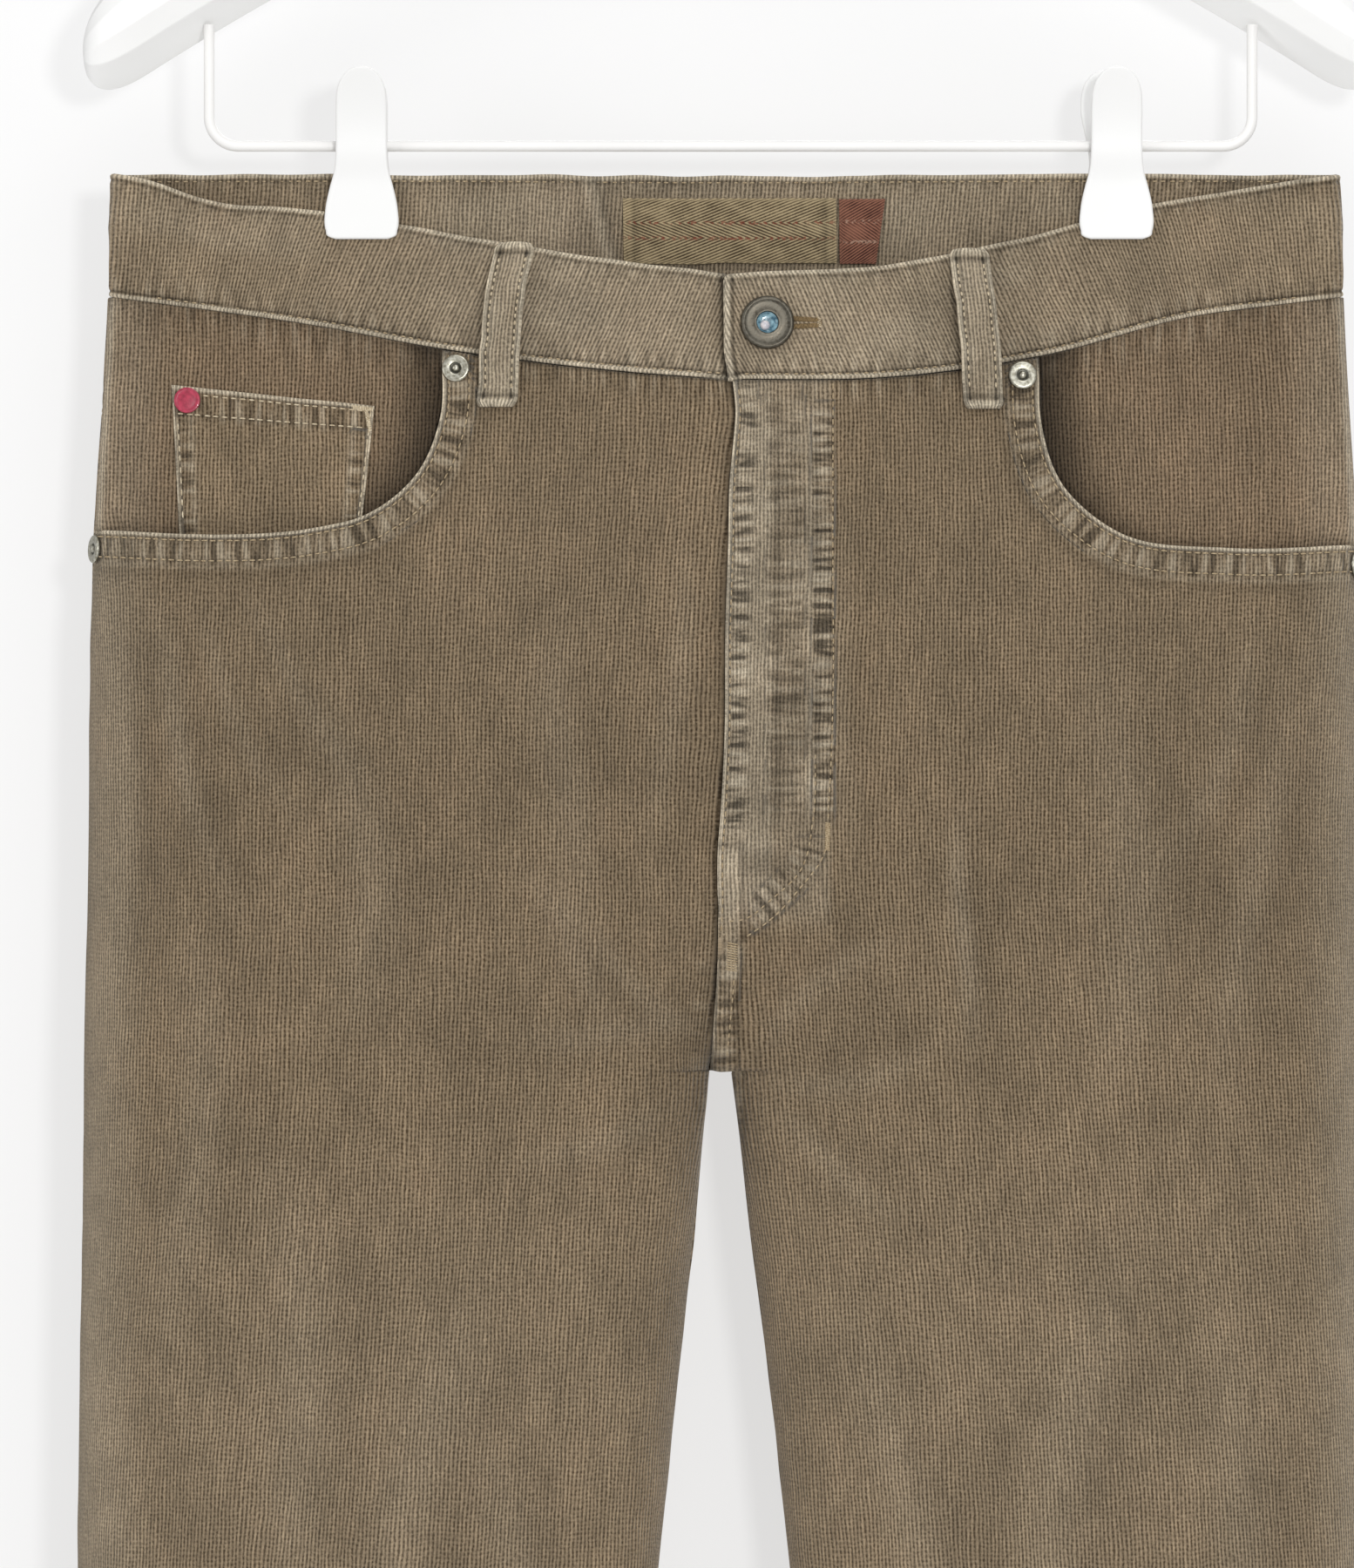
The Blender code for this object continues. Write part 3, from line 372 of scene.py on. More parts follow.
def t_at(share):
    """t by a share that grows evenly with x in the middle of a section."""
    return 0.5 + root(2 * np.asarray(share, float) - 1, SQUARENESS / 2) / 2


def share_at(t):
    return 0.5 + root(2 * np.asarray(t, float) - 1, 2 / SQUARENESS) / 2


def even_t(side, face, z, count, start=0.0, end=1.0, crowd=0.075):
    """Values of t whose points lie evenly along a section, and closer at its ends, where it turns."""
    t = t_at(np.linspace(share_at(start), share_at(end), 600))
    run = np.linalg.norm(np.diff(body(side, face, t, z), axis=0), axis=1)
    run = np.r_[0, np.cumsum(run)]
    share = np.linspace(0, 1, count)
    return np.interp((share - crowd * np.sin(2 * pi * share)) * run[-1], run, t)


def grain_across(side, face, t, z):
    """Distance over the cloth from a panel's middle line."""
    levels, share = np.linspace(HEM, 0, 120), np.linspace(0, 1, 201)
    points = body(side, face, t_at(share), levels[:, None])
    run = np.cumsum(np.linalg.norm(np.diff(points, axis=1), axis=2), axis=1)
    run = np.c_[np.zeros(len(levels)), run]
    run -= run[:, 100:101]
    t, z = np.broadcast_arrays(t, z)
    i = np.clip((z - HEM) / -HEM * 119, 0, 118.999)
    j = np.clip(share_at(t) * 200, 0, 199.999)
    i0, j0 = i.astype(int), j.astype(int)
    low, high = (mix(run[i0 + k, j0], run[i0 + k, j0 + 1], j - j0) for k in (0, 1))
    run = mix(low, high, i - i0)
    upright = (t > 0.5) * step(z, CROTCH - 80, CROTCH - 8)
    run = mix(run, across(0.5, z) - across(t, z), upright)
    return -side * (run - drag(side, t, z))


def drag(side, t, z):
    """How far the side rivet's pull moves the grain inwards."""
    below = np.clip(MOUTH[side][0][1] - z, 0, None)
    return 0.42 * np.exp(-np.asarray(t) / 0.11) * 60 * (1 - np.exp(-below / 60))


# --- Materials


def srgb(*levels):
    """Linear colour of 0 to 255 screen levels."""
    share = np.array(levels) / 255
    return tuple(np.where(share < 0.04045, share / 12.92, ((share + 0.055) / 1.055) ** 2.4))


class Nodes:
    """Short calls that build a material. A value is a number, a colour or another node's output."""

    def __init__(self, name, rough, metal=0.0, specular=0.5):
        self.made = bpy.data.materials.new(name)
        self.made.use_nodes = True
        self.tree = self.made.node_tree
        self.surface = self.tree.nodes["Principled BSDF"]
        self.set("Roughness", rough)
        self.set("Metallic", metal)
        self.set("Specular IOR Level", specular)

    def put(self, socket, value):
        if isinstance(value, bpy.types.NodeSocket):
            self.tree.links.new(value, socket)
        elif isinstance(value, tuple) and len(value) == 3 and socket.type == "RGBA":
            socket.default_value = (*value, 1)
        else:
            socket.default_value = value

    def set(self, name, value):
        self.put(self.surface.inputs[name], value)

    def node(self, kind, inputs=(), **settings):
        made = self.tree.nodes.new("ShaderNode" + kind)
        for key, value in settings.items():
            setattr(made, key, value)
        for key, value in dict(inputs).items():
            self.put(made.inputs[key], value)
        return made

    def math(self, operation, *values, clamp=False):
        made = self.node("Math", enumerate(values), operation=operation, use_clamp=clamp)
        return made.outputs[0]

    def add(self, *values):
        total = values[0]
        for value in values[1:]:
            total = self.math("ADD", total, value)
        return total

    def times(self, *values):
        total = values[0]
        for value in values[1:]:
            total = self.math("MULTIPLY", total, value)
        return total

    def wave(self, value, pitch):
        """0 to 1 and back for each pitch."""
        turned = self.math("COSINE", self.times(value, 2 * pi / pitch))
        return self.math("MULTIPLY_ADD", turned, 0.5, 0.5)

    def vector(self, *values):
        return self.node("CombineXYZ", enumerate(values)).outputs[0]

    def split(self, vector):
        return self.node("SeparateXYZ", {0: vector}).outputs

    def noise(self, vector, scale, detail=2.0, rough=0.5):
        inputs = {"Vector": vector, "Scale": scale, "Detail": detail, "Roughness": rough}
        return self.node("TexNoise", inputs).outputs["Fac"]

    def speck(self, vector, detail=2.0, rough=0.5):
        """Noise spread over the whole of 0 to 1."""
        return self.spread(self.noise(vector, 1.0, detail, rough), 0.3, 0.7)

    def less(self, value):
        return self.math("SUBTRACT", 1.0, value)

    def lit(self, colour, by):
        """A colour made lighter or darker."""
        return self.node("VectorMath", {0: colour, 3: by}, operation="SCALE").outputs[0]

    def spread(self, value, low, high, to_low=0.0, to_high=1.0):
        """A value moved from one range to another, and held inside it."""
        return self.node("MapRange", enumerate((value, low, high, to_low, to_high))).outputs[0]

    def mixed(self, share, a, b, blend="MIX"):
        made = self.node("Mix", {0: share, 6: a, 7: b}, data_type="RGBA", blend_type=blend)
        return made.outputs[2]

    def held(self, name):
        return self.node("Attribute", attribute_name=name).outputs["Fac"]

    def grain(self):
        return self.split(self.node("UVMap", uv_map="grain").outputs[0])

    def place(self):
        """Millimetres in the part's frame."""
        made = self.node("TexCoord").outputs["Object"]
        return self.node("VectorMath", {0: made, 3: 1 / MM}, operation="SCALE").outputs[0]

    def stretched(self, vector, x, y, z):
        return self.node("VectorMath", {0: vector, 1: (x, y, z)}, operation="MULTIPLY").outputs[0]

    def finish(self, colour, height=None, deep=0.3, strength=1.0):
        self.set("Base Color", colour)
        if height is not None:
            bump = self.node("Bump", {"Strength": strength, "Distance": deep * MM, "Height": height})
            self.set("Normal", bump.outputs[0])
        return self.made


# Darker between the ribs and lighter on their crests: partly the pile's own colour, partly painted shade and highlight
# across each rib
GROOVE = 0.34, 0.29, 0.22  # shares of the cloth's colour between its ribs


def corduroy(name, tone, worn):
    """Fine ribbed velvet. wear bares and pales it and also carries painted highlights, shade darkens it as painted
    shade, and pucker creases it square to the seams.
    """
    n = Nodes(name, 0.92, specular=0.12)
    n.set("Sheen Weight", 0.28)
    n.set("Sheen Roughness", 0.45)
    n.set("Sheen Tint", (1.0, 0.92, 0.80, 1.0))
    u, v = n.grain()[:2]
    place, wear, pucker = n.place(), n.held("wear"), n.held("pucker")
    wander = n.noise(n.vector(n.times(u, 0.02), n.times(v, 0.007), 0.0), 1.0, 3.0)
    wiggle = n.noise(n.vector(n.times(u, 0.22), n.times(v, 0.09), 9.0), 1.0, 2.0)
    rib = n.wave(n.add(u, n.times(wander, 6.0), n.times(wiggle, 1.1)), WALE)
    sway = n.noise(n.vector(n.times(u, 0.06), n.times(v, 0.02), 3.0), 1.0, 2.0)
    jog = n.noise(n.vector(n.times(u, 0.45), n.times(v, 0.3), 6.0), 1.0, 2.0)
    gap = n.less(n.wave(n.add(v, n.times(sway, 4.0), n.times(jog, 1.3)), WEFT))
    patches = n.speck(n.stretched(place, 0.030, 0.030, 0.022), 4.0, 0.6)
    clouds = n.speck(n.stretched(place, 0.10, 0.10, 0.07), 3.0, 0.6)
    nap = n.speck(n.vector(n.times(u, 0.42), n.times(v, 0.28), 1.0), 2.0, 0.6)
    tuft = n.speck(n.vector(n.times(u, 1.1), n.times(v, 0.8), 0.0), 3.0, 0.7)
    fuzz = n.speck(n.vector(n.times(u, 2.6), n.times(v, 2.2), 5.0), 2.0, 0.6)
    streak = n.speck(n.vector(n.times(u, 0.75), n.times(v, 0.07), 2.0), 2.0, 0.6)
    clear = n.add(n.spread(nap, 0.0, 1.0, 0.62, 1.05), n.times(wear, 0.35))
    groove = n.times(n.math("POWER", n.less(rib), 1.35), clear, n.add(n.spread(tuft, 0.0, 1.0, 1.04, 0.66), n.times(gap, 0.16)))
    # Creases square to the seams
    run, off = n.split(n.node("UVMap", uv_map="sewing").outputs[0])[:2]
    crease = n.speck(n.vector(n.times(run, 0.38), n.times(off, 0.05), 4.0), 1.5)
    height = n.add(n.times(groove, -0.8), n.times(gap, -0.12), n.times(tuft, 0.35), n.times(fuzz, 0.12))
    height = n.add(height, n.times(pucker, crease, 2.6))
    level = n.add(0.58, n.times(groove, -0.98), n.times(gap, -0.17), n.times(tuft, 0.54), n.times(fuzz, 0.34))
    level = n.spread(level, 0.0, 1.0)
    # Groove colour to crest colour across each rib: partly the pile's own colour, partly painted shade and highlight
    colour = n.mixed(level, tuple(c * k for c, k in zip(tone, GROOVE)), tuple(c * 1.85 for c in tone))
    # Paler where worn and where painted highlights are laid, and on the puckers' ridges, partly wear and partly painted
    # highlight
    pale = n.times(n.spread(tuft, 0.0, 1.0, 0.65, 1.1), wear)
    pale = n.add(pale, n.times(pucker, n.spread(crease, 0.5, 0.9, 0.0, 0.30)))
    worn = n.lit(worn, n.spread(level, 0.0, 1.0, 0.55, 1.12))
    colour = n.mixed(n.math("MINIMUM", pale, 1.0), colour, worn)
    rust = n.times(n.speck(n.stretched(place, 0.17, 0.17, 0.10), 3.0, 0.6), n.spread(patches, 0.4, 1.0, 0.0, 0.30))
    colour = n.mixed(rust, colour, n.node("VectorMath", {0: colour, 1: (1.07, 0.97, 0.95)}, operation="MULTIPLY").outputs[0])
    for texture, swing in ((patches, 0.13), (clouds, 0.09), (nap, 0.17), (streak, 0.14)):
        colour = n.lit(colour, n.spread(texture, 0.0, 1.0, 1 - swing, 1 + swing))
    # Painted shade in the puckers' valleys, then the painted shade held on the points
    dark = n.times(pucker, n.spread(crease, 0.50, 0.20, 0.0, 0.52))
    colour = n.lit(n.lit(colour, n.less(dark)), n.less(n.times(n.held("shade"), 0.8)))
    return n.finish(colour, height, 0.4)


def herringbone(name, ground, thread, vertices, slope, flecks):
    """Woven tape whose slanting threads turn back at two heights."""
    n = Nodes(name, 0.85, specular=0.2)
    n.set("Sheen Weight", 0.1)
    u, v = n.grain()[:2]
    middle, half = sum(vertices) / 2, abs(vertices[0] - vertices[1]) / 2
    inside = n.math("LESS_THAN", n.math("ABSOLUTE", n.add(v, -middle)), half)
    way = n.math("MULTIPLY_ADD", inside, 2 * slope, -slope)
    thread_wave = n.wave(n.add(v, n.times(u, way)), 1.05)
    cross = n.wave(u, 0.7)
    worn = n.noise(n.vector(n.times(u, 0.12), n.times(v, 0.2), 0.0), 1.0, 4.0, 0.6)
    fuzz = n.noise(n.vector(u, v, 0.0), 1.3, 3.0, 0.6)
    height = n.add(n.times(thread_wave, 0.7), n.times(cross, 0.2), n.times(fuzz, 0.3))
    level = n.spread(n.add(n.times(thread_wave, 0.9), n.times(worn, 1.1), n.times(fuzz, 0.6)), 0.85, 1.75)
    colour = n.mixed(level, ground, thread)
    corner = n.math("ABSOLUTE", n.add(n.math("ABSOLUTE", n.add(v, -middle)), -half))
    fleck = n.times(n.spread(corner, 0.9, 0.3), n.spread(n.noise(n.vector(u, v, 7.0), 0.9, 2.0), 0.5, 0.6))
    colour = n.mixed(n.times(fleck, 0.7), colour, flecks)
    # Paler where worn and where painted highlights are laid
    colour = n.mixed(n.times(n.held("wear"), 0.7), colour, thread)
    dark = n.math("SUBTRACT", 1.0, n.times(n.held("shade"), 0.75))
    colour = n.mixed(1.0, colour, n.vector(dark, dark, dark), "MULTIPLY")
    return n.finish(colour, height, 0.25)


def twine(name, light, dark):
    n = Nodes(name, 0.6, specular=0.3)
    fibres = n.noise(n.stretched(n.place(), 2.2, 2.2, 1.4), 1.0, 3.0, 0.7)
    return n.finish(n.mixed(n.spread(fibres, 0.35, 0.65), dark, light), fibres, 0.15)


def metal(name, light, dark, rough, scale=0.9, metallic=0.9):
    """Cast metal, duller in its hollows."""
    n = Nodes(name, rough, metallic)
    spots = n.noise(n.place(), scale, 4.0, 0.65)
    colour = n.mixed(n.spread(spots, 0.35, 0.65), dark, light)
    shadow = n.math("SUBTRACT", 1.0, n.times(n.held("shade"), 0.85))
    colour = n.mixed(1.0, colour, n.vector(shadow, shadow, shadow), "MULTIPLY")
    n.set("Roughness", n.spread(spots, 0.3, 0.7, rough * 0.75, rough * 1.3))
    return n.finish(colour, spots, 0.06, 0.6)


def enamel(name, colour, deep, rough=0.35):
    n = Nodes(name, rough)
    n.set("Coat Weight", 0.3)
    spots = n.noise(n.place(), 0.7, 3.0)
    return n.finish(n.mixed(n.spread(spots, 0.35, 0.65), deep, colour), spots, 0.05, 0.5)


def plastic(name, colour, rough):
    """Moulded plastic with a faint orange peel."""
    n = Nodes(name, rough, specular=0.35)
    cloud = n.noise(n.place(), 0.02, 2.0)
    peel = n.noise(n.place(), 1.2, 2.0)
    dull = tuple(0.965 * c for c in colour)
    return n.finish(n.mixed(n.spread(cloud, 0.35, 0.65), dull, colour), peel, 0.03, 0.4)


# The cloth's colour, and the pale colour of worn cloth, which the painted highlights take too
TAUPE, WORN_AND_LIT = srgb(111, 97, 78), srgb(212, 199, 175)
LOOKS = {
    "cord": corduroy("needlecord", TAUPE, WORN_AND_LIT),
    # A slightly darker copy of the cloth, for the pocket facings
    "cord_facing": corduroy("needlecord_darker", srgb(107, 92, 74), WORN_AND_LIT),
    "tape": herringbone("herringbone_tape", srgb(62, 50, 34), srgb(176, 158, 124), (-16.3, -21.6), 0.39, srgb(128, 60, 45)),
    "red_tape": herringbone("red_herringbone_tape", srgb(42, 14, 10), srgb(144, 98, 79), (-16.0, -23.0), 0.62, srgb(180, 150, 130)),
    "thread": twine("tan_thread", srgb(196, 178, 146), srgb(140, 118, 88)),
    "dark_thread": twine("dark_thread", srgb(150, 126, 88), srgb(84, 68, 46)),
    "pale_thread": twine("pale_thread", srgb(226, 213, 186), srgb(170, 150, 118)),
    "gunmetal": metal("gunmetal", srgb(106, 102, 92), srgb(76, 71, 62), 0.4),
    "nickel": metal("nickel", srgb(205, 203, 190), srgb(150, 145, 128), 0.34),
    "red_enamel": enamel("raspberry_enamel", srgb(178, 48, 76), srgb(140, 28, 54)),
    "teal_enamel": enamel("teal_glaze", srgb(140, 178, 190), srgb(52, 92, 110), 0.2),
    "white_plastic": plastic("white_plastic", srgb(241, 241, 240), 0.5),
    # A lighter copy of the white plastic for the arms: painted light that makes up for their shading
    "white_arms": plastic("white_plastic_lightened", srgb(251, 251, 250), 0.5),
    "white_wire": plastic("white_wire", srgb(242, 241, 239), 0.45),
}

# --- Meshes


def to_world(points):
    return (np.asarray(points, float) - (HANGER_X, 0, HOOK_TOP)) * MM


def piece(name, points, faces, look, slot, nodes=(), maps=(), sharp=False, **values):
    """A mesh that rides on the part, with its faces turned out. faces is groups of faces with as many corners each."""
    points = to_world(points)
    groups = [np.atleast_2d(group) for group in faces]
    volume = 0.0
    for group in groups:
        for k in range(1, group.shape[1] - 1):
            a, b, c = (points[group[:, i]] for i in (0, k, k + 1))
            volume += np.sum(np.cross(b - a, c - a) * a)
    if volume < 0:
        groups = [group[:, ::-1] for group in groups]
    mesh = bpy.data.meshes.new(name)
    mesh.from_pydata(points.tolist(), [], [face for group in groups for face in group.tolist()])
    mesh.shade_smooth()
    if sharp:
        mesh.set_sharp_from_angle(angle=0.7)
    corners = np.empty(len(mesh.loops), np.int32)
    mesh.loops.foreach_get("vertex_index", corners)
    for key, uv in dict(maps).items():
        mesh.uv_layers.new(name=key).data.foreach_set("uv", uv[corners].astype(np.float32).ravel())
    for key, value in values.items():
        value = np.broadcast_to(np.asarray(value, float), len(points))
        mesh.attributes.new(key, "FLOAT", "POINT").data.foreach_set("value", value.astype(np.float32))
    mesh.materials.append(LOOKS[look])
    made = bpy.data.objects.new(name, mesh)
    bpy.context.scene.collection.objects.link(made)
    return carried(made, slot, nodes)


def carried(made, slot, nodes):
    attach(made, "root")
    if nodes:
        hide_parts(*nodes)
    return made


def quads(rows, cols, start=0):
    at = start + np.arange(rows * cols).reshape(rows, cols)
    return np.stack([at[:-1, :-1], at[:-1, 1:], at[1:, 1:], at[1:, :-1]], axis=-1).reshape(-1, 4)


def shell(name, outside, inside, look, slot, nodes=(), rim=EDGE_ROUND, maps=(), **values):
    """A closed wall between two grids of points, with a rounded rim. Maps and values hold numbers for each grid point."""
    outside, inside = outside.copy(), inside.copy()
    rows, cols = outside.shape[:2]
    at = np.arange(rows * cols).reshape(rows, cols)
    edge = np.r_[at[0, :-1], at[:-1, -1], at[-1, :0:-1], at[:0:-1, 0]]
    i, j = edge // cols, edge % cols
    away = outside[i, j] - outside[np.clip(i, 1, rows - 2), np.clip(j, 1, cols - 2)]
    apart = np.linalg.norm(away, axis=1, keepdims=True)
    away *= np.minimum(rim / apart, 0.75)
    middle, half = (outside[i, j] + inside[i, j]) / 2, (outside[i, j] - inside[i, j]) / 2
    outside[i, j] -= away
    inside[i, j] -= away
    turns = [middle + half * cos(angle) + away * (sin(angle) - 1) for angle in (pi / 4, pi / 2, 3 * pi / 4)]
    points = np.concatenate([outside.reshape(-1, 3), inside.reshape(-1, 3), *turns])
    total = rows * cols
    rings = [edge, *(2 * total + k * len(edge) + np.arange(len(edge)) for k in range(3)), edge + total]
    faces = [quads(rows, cols), quads(rows, cols, total)[:, ::-1]]
    for ring, after in zip(rings[:-1], rings[1:]):
        faces.append(np.stack([ring, after, np.roll(after, -1), np.roll(ring, -1)], axis=1))
    same = np.r_[np.arange(total), np.arange(total), np.tile(edge, 3)]
    values = {key: np.broadcast_to(value, (rows, cols)).reshape(-1)[same] for key, value in values.items()}
    maps = {
        key: np.stack([np.broadcast_to(value, (rows, cols)) for value in pair], axis=-1).reshape(-1, 2)[same]
        for key, pair in dict(maps).items()
    }
    return piece(name, points, faces, look, slot, nodes, maps, **values)


def cloth(node, outside, inside, grain, form, look="cord", slot="cord", rim=EDGE_ROUND):
    """A shell of cloth that stands in for a node of the part, and hides it.

    form is the wear and painted highlight, the painted shade, the pucker and the sewing coordinates that a surface
    function returns after the height.
    """
    name = f"cloth_{node}"
    wear, shade, pucker, *sewing = form
    made = shell(name, outside, inside, look, slot, [node], rim, {"grain": grain, "sewing": sewing},
                 wear=wear, shade=shade, pucker=pucker)
    return made


def loft(name, rings, look, slot, nodes=(), closed=False, capped=True, **values):
    """Rings joined in order, with their ends capped or, when closed, joined too."""
    count, around = rings.shape[:2]
    at = np.arange(count * around).reshape(count, around)
    at = np.c_[at, at[:, :1]]
    if closed:
        at = np.r_[at, at[:1]]
    faces = [np.stack([at[:-1, :-1], at[:-1, 1:], at[1:, 1:], at[1:, :-1]], axis=-1).reshape(-1, 4)]
    if capped and not closed:
        faces += [at[0, :-1][::-1], at[-1, :-1]]
    values = {key: np.repeat(value, around) for key, value in values.items()}
    return piece(name, rings.reshape(-1, 3), faces, look, slot, nodes, sharp=True, **values)


def turned(name, profile, centre, axis, look, slot, nodes=(), around=48, closed=False, **values):
    """A (radius, height) profile turned about an axis."""
    axis = np.array(axis, float) / np.linalg.norm(axis)
    other = np.cross(axis, (0, 0, 1) if abs(axis[2]) < 0.9 else (1, 0, 0))
    other /= np.linalg.norm(other)
    angle = np.arange(around) * 2 * pi / around
    ring = np.outer(np.cos(angle), other) + np.outer(np.sin(angle), np.cross(axis, other))
    rings = np.array([np.asarray(centre) + ring * r + axis * h for r, h in profile])
    return loft(name, rings, look, slot, nodes, closed, **values)


def rod(name, points, radius, look, slot, nodes):
    curve = bpy.data.curves.new(name, "CURVE")
    curve.dimensions = "3D"
    curve.bevel_depth, curve.bevel_resolution, curve.use_fill_caps = radius * MM, 6, True
    spline = curve.splines.new("POLY")
    spline.points.add(len(points) - 1)
    for point, at in zip(spline.points, to_world(points)):
        point.co = (*at, 1)
    curve.materials.append(LOOKS[look])
    made = bpy.data.objects.new(name, curve)
    bpy.context.scene.collection.objects.link(made)
    return carried(made, slot, nodes)


# --- Sewing: stitches are (start, end) pairs in a surface's own two coordinates, and at(a, b, out) gives their place


def row_of(route, pitch=STITCH_PITCH, long=STITCH_LONG, seed=1):
    """Stitches along a route, a little uneven."""
    run = np.r_[0, np.cumsum(np.hypot(*np.diff(route, axis=0).T))]
    start = np.arange(0.5, run[-1] - long, pitch)
    start = start + 0.25 * np.random.default_rng(seed).uniform(-1, 1, len(start))
    ends = [np.stack([np.interp(s, run, route[:, k]) for k in (0, 1)], axis=1) for s in (start, start + long)]
    return np.stack(ends, axis=1)


def bartack(a, b, wide, pitch=0.5):
    """Close stitches laid across the line from a to b."""
    a, b = np.array(a, float), np.array(b, float)
    count = max(2, int(np.hypot(*(b - a)) / pitch))
    middle = mix(a, b, np.linspace(0, 1, count)[:, None])
    over = np.array([-(b - a)[1], (b - a)[0]]) / np.hypot(*(b - a)) * wide / 2
    lean = (b - a) / count / 2
    return np.stack([middle - over - lean, middle + over + lean], axis=1)


def sewn(name, at, stitches, look="thread", radius=STITCH_RADIUS, sides=5):
    """Round-ended threads that lie half sunk in a surface."""
    share, thick = np.array([0, 0.06, 0.3, 0.7, 0.94, 1]), np.array([0.02, 0.7, 1, 1, 0.7, 0.02])
    line = mix(stitches[:, :1], stitches[:, 1:], share[None, :, None])
    lift = radius * (0.9 * np.sin(pi * share) ** 0.5 - 0.35)
    centre = at(line[..., 0], line[..., 1], lift + 0 * line[..., 0])
    out = at(line[..., 0], line[..., 1], lift + 1 + 0 * line[..., 0]) - centre
    out /= np.linalg.norm(out, axis=-1, keepdims=True)
    run = np.gradient(centre, axis=1)
    over = np.cross(run, out)
    over /= np.linalg.norm(over, axis=-1, keepdims=True)
    angle = np.arange(sides) * 2 * pi / sides
    ring = out[..., None, :] * np.cos(angle)[:, None] + over[..., None, :] * np.sin(angle)[:, None]
    points = centre[..., None, :] + ring * radius * thick[None, :, None, None]
    count, rings = points.shape[:2]
    corner = np.arange(count * rings * sides).reshape(count, rings, sides)
    corner = np.concatenate([corner, corner[..., :1]], axis=2)
    faces = [corner[:, :-1, :-1], corner[:, :-1, 1:], corner[:, 1:, 1:], corner[:, 1:, :-1]]
    faces = [np.stack(faces, axis=-1).reshape(-1, 4)]
    faces += [corner[:, 0, :-1][:, ::-1], corner[:, -1, :-1]]
    return piece(name, points.reshape(-1, 3), faces, look, "tape")


# --- Fronts


def puckers(seed, run, off, wide, tall):
    """Heights of small creases square to a seam, uneven in strength along it."""
    strength = 0.65 + 0.45 * noise(seed + 1, run, off, 23, 90)
    return strength * noise(seed, run, off, wide, tall)


class Relief:
    """What a surface adds at each point: height, wear and painted highlight, painted shade, and puckers square to a
    seam.
    """

    def __init__(self, *like):
        zero = sum(np.asarray(value, float) * 0 for value in like)
        self.out, self.wear, self.shade, self.pucker, self.run, self.off = (zero.copy() for _ in range(6))

    def add(self, out=0.0, wear=0.0, shade=0.0):
        self.out = self.out + out
        self.wear = self.wear + wear
        self.shade = self.shade + shade

    def gather(self, strength, run, off):
        """Puckers along a seam. They fade out where they meet those of the seams before it."""
        stronger = strength > self.pucker
        self.run, self.off = np.where(stronger, run, self.run), np.where(stronger, off, self.off)
        self.pucker = np.abs(self.pucker - strength)

    def row(self, off, at, strength=1.0, half=0.6):
        """The dent and shadow of a row of stitches."""
        self.add(out=-0.3 * strength * bell(off, at, half), shade=0.38 * strength * bell(off, at, half))

    def edge(self, off, wide=1.3, strength=0.95):
        """Pale wear along an edge."""
        self.add(wear=strength * step(off, wide + 0.4, wide - 0.4))

    def form(self):
        return np.clip(self.wear, 0, 1), np.clip(self.shade, 0, 1), np.clip(self.pucker, 0, 1.25), self.run, self.off


def creased(relief, face, x, z):
    """The shallow creases that are listed in CREASES."""
    for of_face, x0, z0, x1, z1, half, deep in CREASES:
        if of_face != face:
            continue
        run = np.array([x1 - x0, z1 - z0], float)
        share = ((x - x0) * run[0] + (z - z0) * run[1]) / (run @ run)
        bend = 0.8 * half * np.sin(4 * share + x0)
        off = ((x - x0) * run[1] - (z - z0) * run[0]) / np.hypot(*run) + bend
        ends = step(share, -0.1, 0.35) * step(share, 1.1, 0.6)
        # Each crease is painted as well as dented: painted shade in a trough or beside a ridge, and a painted highlight
        # on a ridge or beside a trough
        dark, pale = (0, half) if deep > 0 else (-half, 0)
        relief.add(
            -deep * ends * bell(off, 0, half),
            0.075 * ends * bell(off, pale, half * 0.7),
            abs(deep) * 0.12 * ends * bell(off, dark, half * 0.8),
        )


